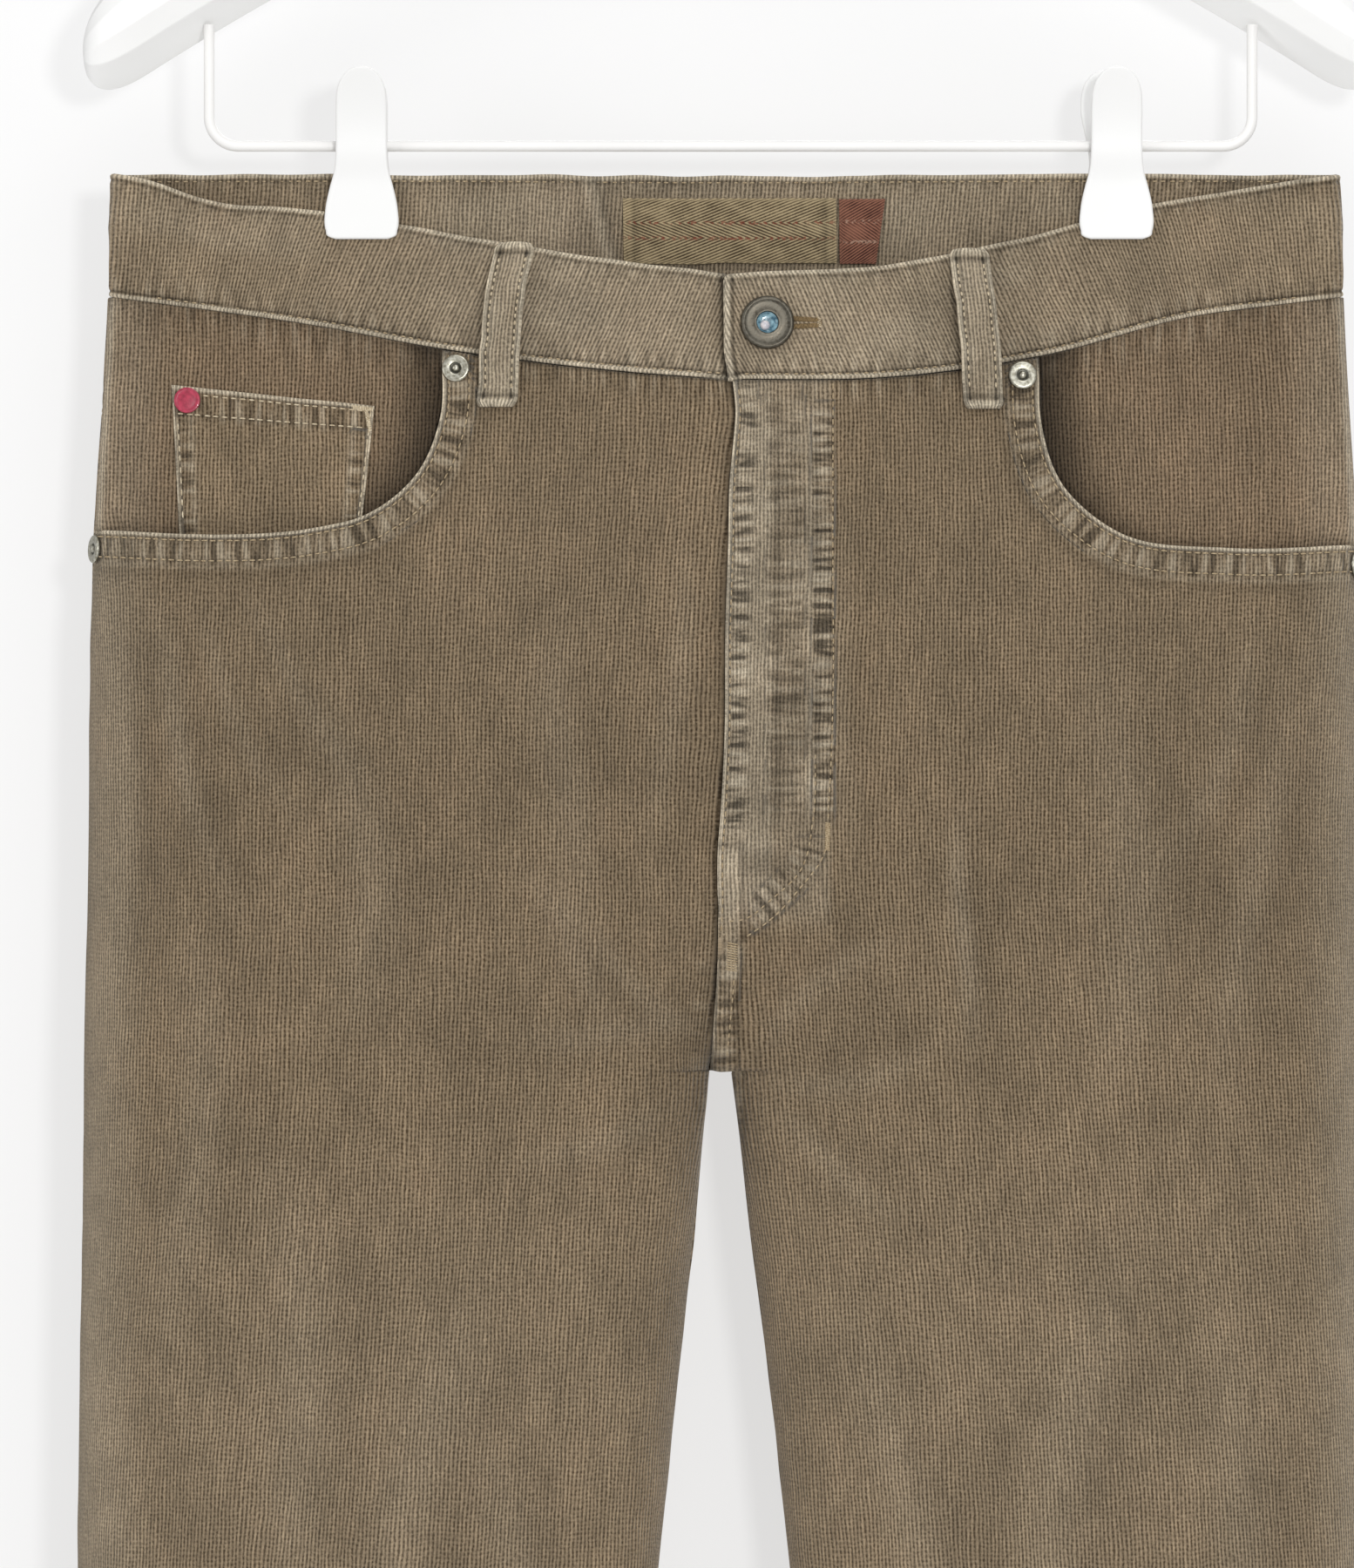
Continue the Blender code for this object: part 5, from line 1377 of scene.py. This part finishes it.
def yoke(name, side):
    t = even_t(side, 1, YOKE_SIDE, 92)
    x = across(t, YOKE_SIDE)
    z = mix(back_seam(x) - SEAM, yoke_seam(x), band_rows(30))
    t = t + 0 * z
    relief = back_form(side, side * across(t, z), z)
    outside = lifted(side, 1, t, z, relief.out)
    inside = lifted(side, 1, t, z, np.minimum(relief.out, 0) - CLOTH)
    if side < 0:
        tucked(outside, 1, across(t, z), z)
        tucked(inside, 1, across(t, z), z)
    grain = grain_across(side, 1, t, z), z
    cloth(name, outside, inside, grain, relief.form())


def laid_on(tree, face, x, z, out):
    """Points at a distance above a panel's own facets."""
    start, beyond = placed(face, x, z, 20 + 0 * x), placed(face, x, z, 0 * x)
    found = np.empty(start.shape)
    for at in np.ndindex(x.shape):
        inwards = beyond[at] - start[at]
        hit = tree.ray_cast(start[at].tolist(), inwards.tolist())[0]
        found[at] = np.array(hit) - inwards / np.linalg.norm(inwards) * np.broadcast_to(out, x.shape)[at]
    return found


def tree_of(grid):
    rows, cols = grid.shape[:2]
    return BVHTree.FromPolygons(grid.reshape(-1, 3).tolist(), quads(rows, cols).tolist())


def back_pocket(name, side, tree):
    def place(over, down):
        x = side * (POCKET_X + over * (POCKET_HALF - POCKET_TAPER * down))
        top = yoke_seam(side * POCKET_X + side * over * POCKET_HALF) - POCKET_BELOW_YOKE
        return x, top - down * (POCKET_TALL + POCKET_POINT * (1 - np.abs(over)))

    def form(over, down):
        sides = POCKET_HALF * (1 - np.abs(over))
        top, bottom = down * POCKET_TALL, (1 - down) * POCKET_TALL
        edge = np.minimum(sides, bottom)
        relief = Relief(over, down)
        relief.gather(0.9 * step(edge, 10, 7) * step(edge, 1.2, 2.2), np.where(sides < bottom, top, sides), edge)
        relief.gather(0.9 * step(top, 14, 11) * step(top, 1.2, 2.2), sides, top)
        relief.add(0.35 * noise(152 + side, sides, top, 18, 16))
        relief.edge(np.minimum(edge, top), 1.1, 0.85)
        for value, at in ((edge, 2.0), (edge, 8.0), (top, 12.0)):
            relief.row(value, at)
        return relief

    over = np.sin(np.linspace(-pi / 2, pi / 2, 57)) * 0.35 + np.linspace(-1, 1, 57) * 0.65
    down = band_rows(54)
    over, down = np.broadcast_arrays(over, down)
    x, z = place(over, down)
    relief = form(over, down)
    under = LAID + 0.2
    base = laid_on(tree, 1, x, z, 0.0)
    lift = laid_on(tree, 1, x, z, 1.0) - base
    outside, inside = base + lift * (under + CLOTH + relief.out)[..., None], base + lift * (under - 0.5)
    cloth(name, outside, inside, (x, z), relief.form())

    def at(a, b, out):
        over, down = a / POCKET_HALF, b / POCKET_TALL
        x, z = place(over, down)
        return placed(1, x, z, back_form(side, x, z).out + under + CLOTH + form(over, down).out + out)

    inner = POCKET_HALF - 2
    sides = lambda row: [
        row_of(np.array([(s * (POCKET_HALF - row), 1.5), (s * (POCKET_HALF - row), POCKET_TALL - row)]), seed=155)
        for s in (-1, 1)
    ]
    feet = lambda row: [
        row_of(np.array([(s * (POCKET_HALF - row), POCKET_TALL - row), (0, POCKET_TALL - row)]), seed=156) for s in (-1, 1)
    ]
    stitches = [*sides(2.0), *sides(8.0), *feet(2.0), *feet(8.0), row_of(np.array([(-inner, 12.0), (inner, 12.0)]))]
    stitches += [bartack((s * (POCKET_HALF - 7.5), 1.2), (s * (POCKET_HALF - 1), 1.2), 1.6) for s in (-1, 1)]
    sewn(f"stitches_{name}", at, np.concatenate(stitches))


def seam_stitches():
    """The rows along the pockets' mouths, the fly, the yokes, the seat seam and the hems."""
    for word, side in (("right", -1), ("left", 1)):
        mouth = along(MOUTH[side], 60) * (side, 1)
        rows = [row_of(beside(mouth, -side * -row if side < 0 else row), 2.8, seed=160 + k) for k, row in enumerate(MOUTH_ROWS)]
        sewn(f"stitches_mouth_{word}", on_front(side), np.concatenate(rows))
        seam_x = np.linspace(1.5, 209, 120)
        yoke_line = np.c_[side * seam_x, yoke_seam(seam_x)]
        rows = [row_of(yoke_line + (0, row), seed=163) for row in (2.2, 8.2)]
        if side > 0:
            z = np.linspace(-45, -285, 80)
            rows += [row_of(np.c_[x + 0 * z, z], seed=165) for x in (2.6, 8.4)]
        sewn(f"stitches_back_{word}", on_back(side), np.concatenate(rows))
        for face, form in ((-1, front_form), (1, back_form)):
            level = HEM + HEM_TURN - 1.6
            t = even_t(side, face, level, 90)
            at = lambda a, b, out: lifted(side, face, a, b, form(side, side * across(a, b), b).out + out)
            points = body(side, face, t, level)
            run = np.r_[0, np.cumsum(np.linalg.norm(np.diff(points, axis=0), axis=1))]
            start = np.arange(3, run[-1] - 5, STITCH_PITCH)
            ends = [np.stack([np.interp(s, run, t), level + 0 * s], axis=1) for s in (start, start + STITCH_LONG)]
            sewn(f"stitches_hem_{word}_{'front' if face < 0 else 'back'}", at, np.stack(ends, axis=1))
    z = np.linspace(-74, -262, 80)
    rows = [row_of(np.c_[0 * z + BAND_ROW + 0.2, z], 3.0, 2.2, 170), row_of(fly_route(FLY_OUTER, 60), 3.0, 2.2, 171)]
    tack, low = fly_route(((34.6, -223), (34.4, -232)), 2), fly_route(((2.4, -264), (2.2, -273)), 2)
    rows += [row_of(fly_route(FLY_INNER[1:], 50), 3.0, 2.0, 172), bartack(*tack, 1.9), bartack(*low, 3.4, 0.7)]
    rows.append(row_of(np.array([(6.4, -276), (6.4, -304.0)]), 3.0, 2.0, 173))
    sewn("stitches_fly", on_front(1), np.concatenate(rows))
    rows = []
    for side in (-1, 1):
        x = side * np.linspace(4 if side > 0 else 3, 196, 120)
        seam = front_height(BAND_SEAM, x)
        rows.append(row_of(np.c_[x, seam + BAND_ROW], 3.0, 1.5, 176))
    at = lambda a, b, out: placed(-1, a, b, BAND_PROUD - 0.32 + out)
    sewn("stitches_band", at, np.concatenate(rows))
    x = np.linspace(-205, 205, 200)
    at = lambda a, b, out: placed(1, a, b, BAND_PROUD - 0.3 + out)
    rows = [row_of(np.c_[x, back_seam(x) + BAND_ROW], 3.0, 1.8, 177), row_of(np.c_[x, -2.4 + 0 * x], 3.0, 1.8, 178)]
    sewn("stitches_band_back", at, np.concatenate(rows))
    at = lambda a, b, out: placed(1, a, b, -BAND_DEEP + 0.1 - out)
    sewn("stitches_band_inside", at, row_of(np.c_[x, -2.4 + 0 * x], 3.0, 1.8, 179))


# --- Metal


def facing_of(face, x, z):
    return placed(face, x, z, 1.0) - placed(face, x, z, 0.0)


def rivet(name, x, z, radius, clear, tree):
    """A cap with a rolled rim, a groove and a nipple."""
    x, z = np.array(x), np.array(z)
    on_coin = "coin" in name
    centre = placed(-1, x, z, COIN_FACE) if on_coin else laid_on(tree, -1, x, z, clear)
    r = radius
    profile = (
        (r * 0.92, 0.1), (r * 0.98, 0.5), (r, 0.9), (r * 0.97, 1.25), (r * 0.9, 1.45), (r * 0.82, 1.5),
        (r * 0.60, 1.42), (r * 0.46, 1.36), (r * 0.41, 1.2), (r * 0.37, 0.95), (r * 0.31, 0.9), (r * 0.26, 1.15),
        (r * 0.23, 1.6), (r * 0.18, 1.9), (r * 0.11, 2.04), (r * 0.02, 2.1),
    )
    shade = [0.7, 0.4, 0.2, 0, 0, 0, 0, 0.1, 0.6, 0.95, 0.95, 0.6, 0.15, 0, 0, 0]
    look, slot = ("red_enamel", "red_enamel") if on_coin else ("nickel", "nickel")
    if on_coin:
        profile = [(r * a, h) for a, h in COIN_CAP]
        shade = [0.6, 0.3, 0.1, 0, 0, 0.15, 0.2, 0.05, 0, 0]
    turned(name + "_cap", profile, centre, facing_of(-1, x, z), look, slot, [name], shade=shade)


def button():
    """A cast ring with a rolled rim round a glazed hollow, and its buttonhole."""
    centre, axis = placed(-1, BUTTON_X, BUTTON_Z, BAND_PROUD), facing_of(-1, BUTTON_X, BUTTON_Z)
    axis = axis / np.linalg.norm(axis)
    r = BUTTON_RADIUS
    ring = (
        (r * 0.80, 0.5), (r * 0.92, 0.7), (r * 0.985, 1.2), (r, 1.8), (r * 0.985, 2.4), (r * 0.95, 2.85), (r * 0.90, 3.1),
        (r * 0.86, 3.05), (r * 0.82, 2.85), (r * 0.74, 2.75), (r * 0.60, 2.72), (r * 0.50, 2.78), (r * 0.455, 2.9),
        (r * 0.42, 2.85), (r * 0.40, 2.6), (r * 0.40, 0.9),
    )
    shade = [0.6, 0.4, 0.2, 0, 0, 0, 0, 0, 0.25, 0.1, 0.05, 0, 0, 0.2, 0.7, 1.0]
    turned("button_ring", ring, centre, axis, "gunmetal", "button_metal", ["button"], shade=shade)
    hollow = ((r * 0.41, 1.9), (r * 0.36, 1.35), (r * 0.28, 1.05), (r * 0.2, 1.0), (r * 0.02, 1.0))
    hollow = (*hollow[::-1], (r * 0.41, 0.8), (r * 0.02, 0.8))
    turned("button_hollow", hollow, centre, axis, "teal_enamel", "button_metal", closed=True)
    nub_r = 1.75
    angle = np.linspace(0, pi / 2, 7)
    nub = [(nub_r * cos(a) + 0.01, 1.0 + 1.3 * sin(a)) for a in angle]
    low_left = np.array(placed(-1, BUTTON_X - 0.8, BUTTON_Z - 0.9, BAND_PROUD))
    turned("button_nub", [(nub_r, 0.85), *nub], low_left, axis, "pale_nub", "button_metal", around=24)
    at = lambda a, b, out: placed(-1, a, b, BAND_PROUD + 0.15 + out)
    hole = [bartack((20.5, -51.6 + s * 1.5), (30.4, -51.6 + s * 0.9), 1.9, 0.36) for s in (-1, 1)]
    angle = np.linspace(-1.3, 1.3, 9)
    around = np.stack([np.cos(angle), np.sin(angle)], axis=1)
    hole.append(np.stack([(30.2, -51.6) + 0.7 * around, (30.2, -51.6) + 2.1 * around], axis=1))
    sewn("buttonhole", at, np.concatenate(hole), "dark_thread", 0.22)
    sewn("buttonhole_end", at, bartack((31.4, -52.9), (31.4, -50.2), 1.3, 0.5), "pale_thread", 0.24)


# --- Hanger


def ridge(x):
    x = np.sqrt(np.asarray(x, float) ** 2 + 144) - 12
    return ARM_RIDGE - ARM_SLOPE * x - ARM_CURVE * x * x


def cut_corners(points, times):
    """A closed outline with its corners cut again and again, until it is round."""
    for _ in range(times):
        after = np.roll(points, -1, axis=0)
        points = np.stack([mix(points, after, 0.25), mix(points, after, 0.75)], axis=1).reshape(-1, 2)
    return points


def arms():
    section = np.array(ARM_SECTION, float)
    after = np.roll(section, -1, axis=0)
    tight = np.concatenate([mix(section, after, share)[:, None] for share in (0.0, 0.12, 0.88)], axis=1)
    section = cut_corners(tight.reshape(-1, 2), 2)
    middle = np.array(ARM_SECTION).mean(axis=0) * (0, 1)
    end = ARM_HALF - TIP_LONG * (1 - np.sin(np.linspace(0, pi / 2, 22)[:-1]))
    half = np.r_[np.linspace(0, 200, 44)[:-1], end]
    rings = []
    for x in np.r_[-half[:0:-1], half]:
        thick = mix(ARM_THIN, ARM_THICK, step(abs(x), 20, 190))
        share = np.clip((abs(x) - (ARM_HALF - TIP_LONG)) / TIP_LONG, 0, 1)
        tip = (1 - share**2.4) ** (1 / 2.4)
        depth, height = (middle + (section - middle) * tip).T
        rings.append(np.stack([HANGER_X + x + 0 * depth, depth * thick, ridge(x) + height], axis=1))
    made = loft("hanger_moulding", np.array(rings), "white_arms", "white_plastic", ["hanger_arms"])
    made.data.set_sharp_from_angle(angle=1.2)


def bar():
    bend = np.linspace(0, pi / 2, 14)
    corner_x = BAR_HALF - BAR_BEND + BAR_BEND * np.sin(bend)
    corner_z = BAR_Z + BAR_BEND - BAR_BEND * np.cos(bend)
    top = ridge(BAR_HALF + BAR_RADIUS) + ARM_UNDER - 2 * SEAM
    half = np.c_[np.r_[0, corner_x, BAR_HALF], np.r_[BAR_Z, corner_z, top]]
    line = np.r_[half[:0:-1] * (-1, 1), half[1:]]
    points = np.stack([HANGER_X + line[:, 0], 0 * line[:, 0], line[:, 1]], axis=1)
    rod("hanger_wire", points, BAR_RADIUS, "white_wire", "white_wire", ["hanger_bar"])


def hook(foot):
    centre = HOOK_TOP - HOOK_INNER
    r = HOOK_INNER + HOOK_RADIUS
    angle = np.linspace(-pi / 4, pi * 1.12, 48)
    arc = np.c_[r * np.cos(angle), centre + r * np.sin(angle)]
    start, end = np.array((0, foot + HOOK_STEM)), arc[0]
    u = np.linspace(0, 1, 17)[:-1, None]
    reach = end[1] - start[1]
    leave, meet = np.array((0, reach)), np.array((reach, reach)) / np.sqrt(2)
    bend = (1 + 2 * u) * (1 - u) ** 2 * start + u * (1 - u) ** 2 * leave
    bend = bend + u * u * (3 - 2 * u) * end + u * u * (u - 1) * meet
    line = np.r_[[(0, foot)], bend, arc]
    points = np.stack([HANGER_X + line[:, 0], 0 * line[:, 0], line[:, 1]], axis=1)
    rod("hook_wire", points, HOOK_RADIUS, "white_wire", "white_wire", ["hanger_hook"])


def clip_profile(z):
    jaw = SEAM / 2 + PINCHED + BAND_PROUD + CLIP_GAP
    pivot = PIVOT_OUTER + CLIP_GAP
    return mix(jaw, pivot, step(z, -4, BAR_Z - 1)) + SPLAY * step(z, *SPLAY_HEIGHTS)


def clip(word, side):
    """Two flared plates on a sleeve that slides on the bar."""
    centre = side * CLIP_X[side]
    low, high = CLIP_OUTLINE[0][0], CLIP_OUTLINE[-1][0]
    middle, reach = (low + high) / 2, (high - low) / 2
    z = middle - reach * np.sin(np.linspace(-pi / 2, pi / 2, 70))
    from_end = np.minimum(z - low, high - z)
    inset = CLIP_ROUND - np.sqrt(CLIP_ROUND**2 - np.clip(CLIP_ROUND - from_end, 0, CLIP_ROUND) ** 2)
    half, thick = smooth(CLIP_OUTLINE, z) - 0.6 * inset, CLIP_PLATE / 2 - 0.85 * inset
    turn = np.linspace(0, pi / 2, 5)
    for part, face in (("front", -1), ("back", 1)):
        skew = CLIP_SKEW[side] * step(z, 2, 24) * (face > 0)
        rings = []
        for at_z, w, h, shift in zip(z, half, thick, skew):
            r = min(CLIP_ROUND, w, h)
            corner = np.c_[w - r + r * np.cos(turn), h - r + r * np.sin(turn)]
            corner = np.r_[corner, [(w - r - 0.7 * min(1, w - r), h)]]
            ring = np.r_[corner, corner[::-1] * (-1, 1), corner * (-1, -1), corner[::-1] * (1, -1)]
            deep = face * (float(clip_profile(at_z)) + CLIP_PLATE / 2)
            rings.append(np.c_[centre + shift + ring[:, 0], deep + ring[:, 1], at_z + 0 * ring[:, 0]])
        loft(f"plate_{word}_{part}", np.array(rings), "white_plastic", "white_plastic", [f"clip_{word}_{part}"])
    hole = BAR_RADIUS + CLIP_GAP
    profile = (
        (hole, -PIVOT_HALF), (PIVOT_OUTER - 0.5, -PIVOT_HALF), (PIVOT_OUTER, -PIVOT_HALF + 0.5),
        (PIVOT_OUTER, PIVOT_HALF - 0.5), (PIVOT_OUTER - 0.5, PIVOT_HALF), (hole, PIVOT_HALF),
    )
    turned(f"sleeve_{word}", profile, (centre, 0, BAR_Z), (1, 0, 0), "white_plastic", "white_plastic",
           [f"clip_{word}_pivot"], closed=True)


def hanger():
    arms()
    bar()
    crown = float(ridge(0)) + ARM_CROWN + SEAM
    hook(crown)
    hole, outer, tall = HOOK_RADIUS + SEAM, COLLAR_RADIUS, COLLAR_TALL
    turn = [(outer - 1.5 + 1.5 * cos(a), tall - 1.5 + 1.5 * sin(a)) for a in np.linspace(0, pi / 2, 6)]
    profile = ((hole, 0), (outer - 0.4, 0), (outer, 0.4), *turn, (hole, tall))
    turned("collar_ring", profile, (HANGER_X, 0, crown), (0, 0, 1), "white_plastic", "white_plastic",
           ["hanger_collar"], closed=True)
    clip("right", -1)
    clip("left", 1)


# --- Putting it together


def trousers():
    for word, side in (("right", -1), ("left", 1)):
        front_tree = tree_of(front(f"front_{word}", side))
        back_tree = tree_of(back(f"back_{word}", side))
        yoke(f"yoke_{word}", side)
        facing(f"pocket_facing_{word}", side)
        front_band(f"waistband_{word}", side)
        back_pocket(f"back_pocket_{word}", side, back_tree)
        for row in RIVETS:
            if row[1] * side > 0:
                rivet(*row, front_tree)
    back_band("waistband_back")
    band_tape("neck_tape", -35.9, 38.3, -7.8, -30.3, "tape")
    band_tape("red_tape", 39.2, 53.5, -8.2, -30.6, "red_tape")
    coin_pocket("coin_pocket")
    for row in LOOPS:
        loop(*row)
    seam_stitches()
    button()


LOOKS["pale_nub"] = enamel("pale_glaze", srgb(222, 214, 214), srgb(176, 176, 186), 0.25)
trousers()
hanger()

# --- Stage, lights and camera

PHOTO_MIDDLE = Vector((-0.01845, 0.0, -0.4346))  # what the photograph's centre looks at
PHOTO_TALL = 0.539  # metres from its bottom to its top there
CAMERA_AWAY = 4.0
FLOOR_Z = -1.36
BACKDROP_Y, BACKDROP_GLOW = 0.0485, 0.66
FLOOR_COLOUR, BACKDROP_COLOUR = srgb(236, 236, 236), srgb(249, 249, 249)


def plane(name, corners, material):
    mesh = bpy.data.meshes.new(name)
    mesh.from_pydata(corners, [], [(0, 1, 2, 3)])
    mesh.materials.append(material)
    made = bpy.data.objects.new(name, mesh)
    bpy.context.scene.collection.objects.link(made)
    return made


def area_light(name, azimuth, elevation, away, size, share):
    """A square soft box that gives that share of a full exposure to a surface facing it."""
    back = Vector((sin(azimuth) * cos(elevation), -cos(azimuth) * cos(elevation), sin(elevation)))
    data = bpy.data.lights.new(name, "AREA")
    data.size = size
    data.energy = share * pi * pi * away * away
    made = bpy.data.objects.new(name, data)
    made.location = PHOTO_MIDDLE + back * away
    made.rotation_mode = "QUATERNION"
    made.rotation_quaternion = (-back).to_track_quat("-Z", "Y")
    made.visible_camera = False
    bpy.context.scene.collection.objects.link(made)


def stage():
    matt = Nodes("pale_floor", 0.9)
    grain = matt.noise(matt.place(), 0.004, 2.0)
    floor = matt.finish(matt.mixed(grain, tuple(0.97 * c for c in FLOOR_COLOUR), FLOOR_COLOUR))
    half, front_y, back_y = 4.0, -5.0, 5.0
    corners = [(-half, front_y, FLOOR_Z), (half, front_y, FLOOR_Z), (half, back_y, FLOOR_Z), (-half, back_y, FLOOR_Z)]
    plane("floor", corners, floor)
    paper = bpy.data.materials.new("backdrop_paper")
    paper.use_nodes = True
    nodes, links = paper.node_tree.nodes, paper.node_tree.links
    kinds = "BsdfDiffuse", "Emission", "MixShader", "BsdfTransparent", "MixShader"
    diffuse, glow, lit, clear, mixer = (nodes.new("ShaderNode" + kind) for kind in kinds)
    diffuse.inputs["Color"].default_value = glow.inputs["Color"].default_value = (*BACKDROP_COLOUR, 1)
    lit.inputs[0].default_value = BACKDROP_GLOW
    links.new(diffuse.outputs[0], lit.inputs[1])
    links.new(glow.outputs[0], lit.inputs[2])
    links.new(nodes.new("ShaderNodeNewGeometry").outputs["Backfacing"], mixer.inputs[0])
    links.new(lit.outputs[0], mixer.inputs[1])
    links.new(clear.outputs[0], mixer.inputs[2])
    links.new(mixer.outputs[0], nodes["Material Output"].inputs["Surface"])
    half, top = 1.6, 1.2
    corners = [(-half, BACKDROP_Y, FLOOR_Z), (half, BACKDROP_Y, FLOOR_Z), (half, BACKDROP_Y, top), (-half, BACKDROP_Y, top)]
    backdrop = plane("backdrop", corners, paper)
    for kind in ("diffuse", "glossy", "transmission", "shadow", "volume_scatter"):
        setattr(backdrop, "visible_" + kind, False)


def lights():
    area_light("key", radians(12), radians(9), 3.0, 0.32, 0.32)
    area_light("top", radians(20), radians(60), 2.6, 1.2, 0.20)
    area_light("fill", radians(-55), radians(10), 3.2, 1.4, 0.16)
    area_light("behind", radians(170), radians(25), 3.0, 1.5, 0.40)
    world = bpy.data.worlds.new("studio")
    bpy.context.scene.world = world
    world.use_nodes = True
    nodes, links = world.node_tree.nodes, world.node_tree.links
    room, seen, mixer = nodes["Background"], nodes.new("ShaderNodeBackground"), nodes.new("ShaderNodeMixShader")
    room.inputs["Color"].default_value, room.inputs["Strength"].default_value = (1, 1, 1, 1), 0.56
    seen.inputs["Color"].default_value, seen.inputs["Strength"].default_value = (1, 1, 1, 1), 0.9
    links.new(nodes.new("ShaderNodeLightPath").outputs["Is Camera Ray"], mixer.inputs[0])
    links.new(room.outputs[0], mixer.inputs[1])
    links.new(seen.outputs[0], mixer.inputs[2])
    links.new(mixer.outputs[0], nodes["World Output"].inputs["Surface"])


def camera():
    data = bpy.data.cameras.new("camera")
    data.sensor_width = 36.0
    data.lens = data.sensor_width * CAMERA_AWAY / PHOTO_TALL
    data.clip_end = 50.0
    made = bpy.data.objects.new("camera", data)
    made.location = PHOTO_MIDDLE + Vector((0, -CAMERA_AWAY, 0))
    made.rotation_euler = (pi / 2, 0, 0)
    bpy.context.scene.collection.objects.link(made)
    bpy.context.scene.camera = made


stage()
lights()
camera()
bpy.context.scene.view_settings.view_transform = "Standard"
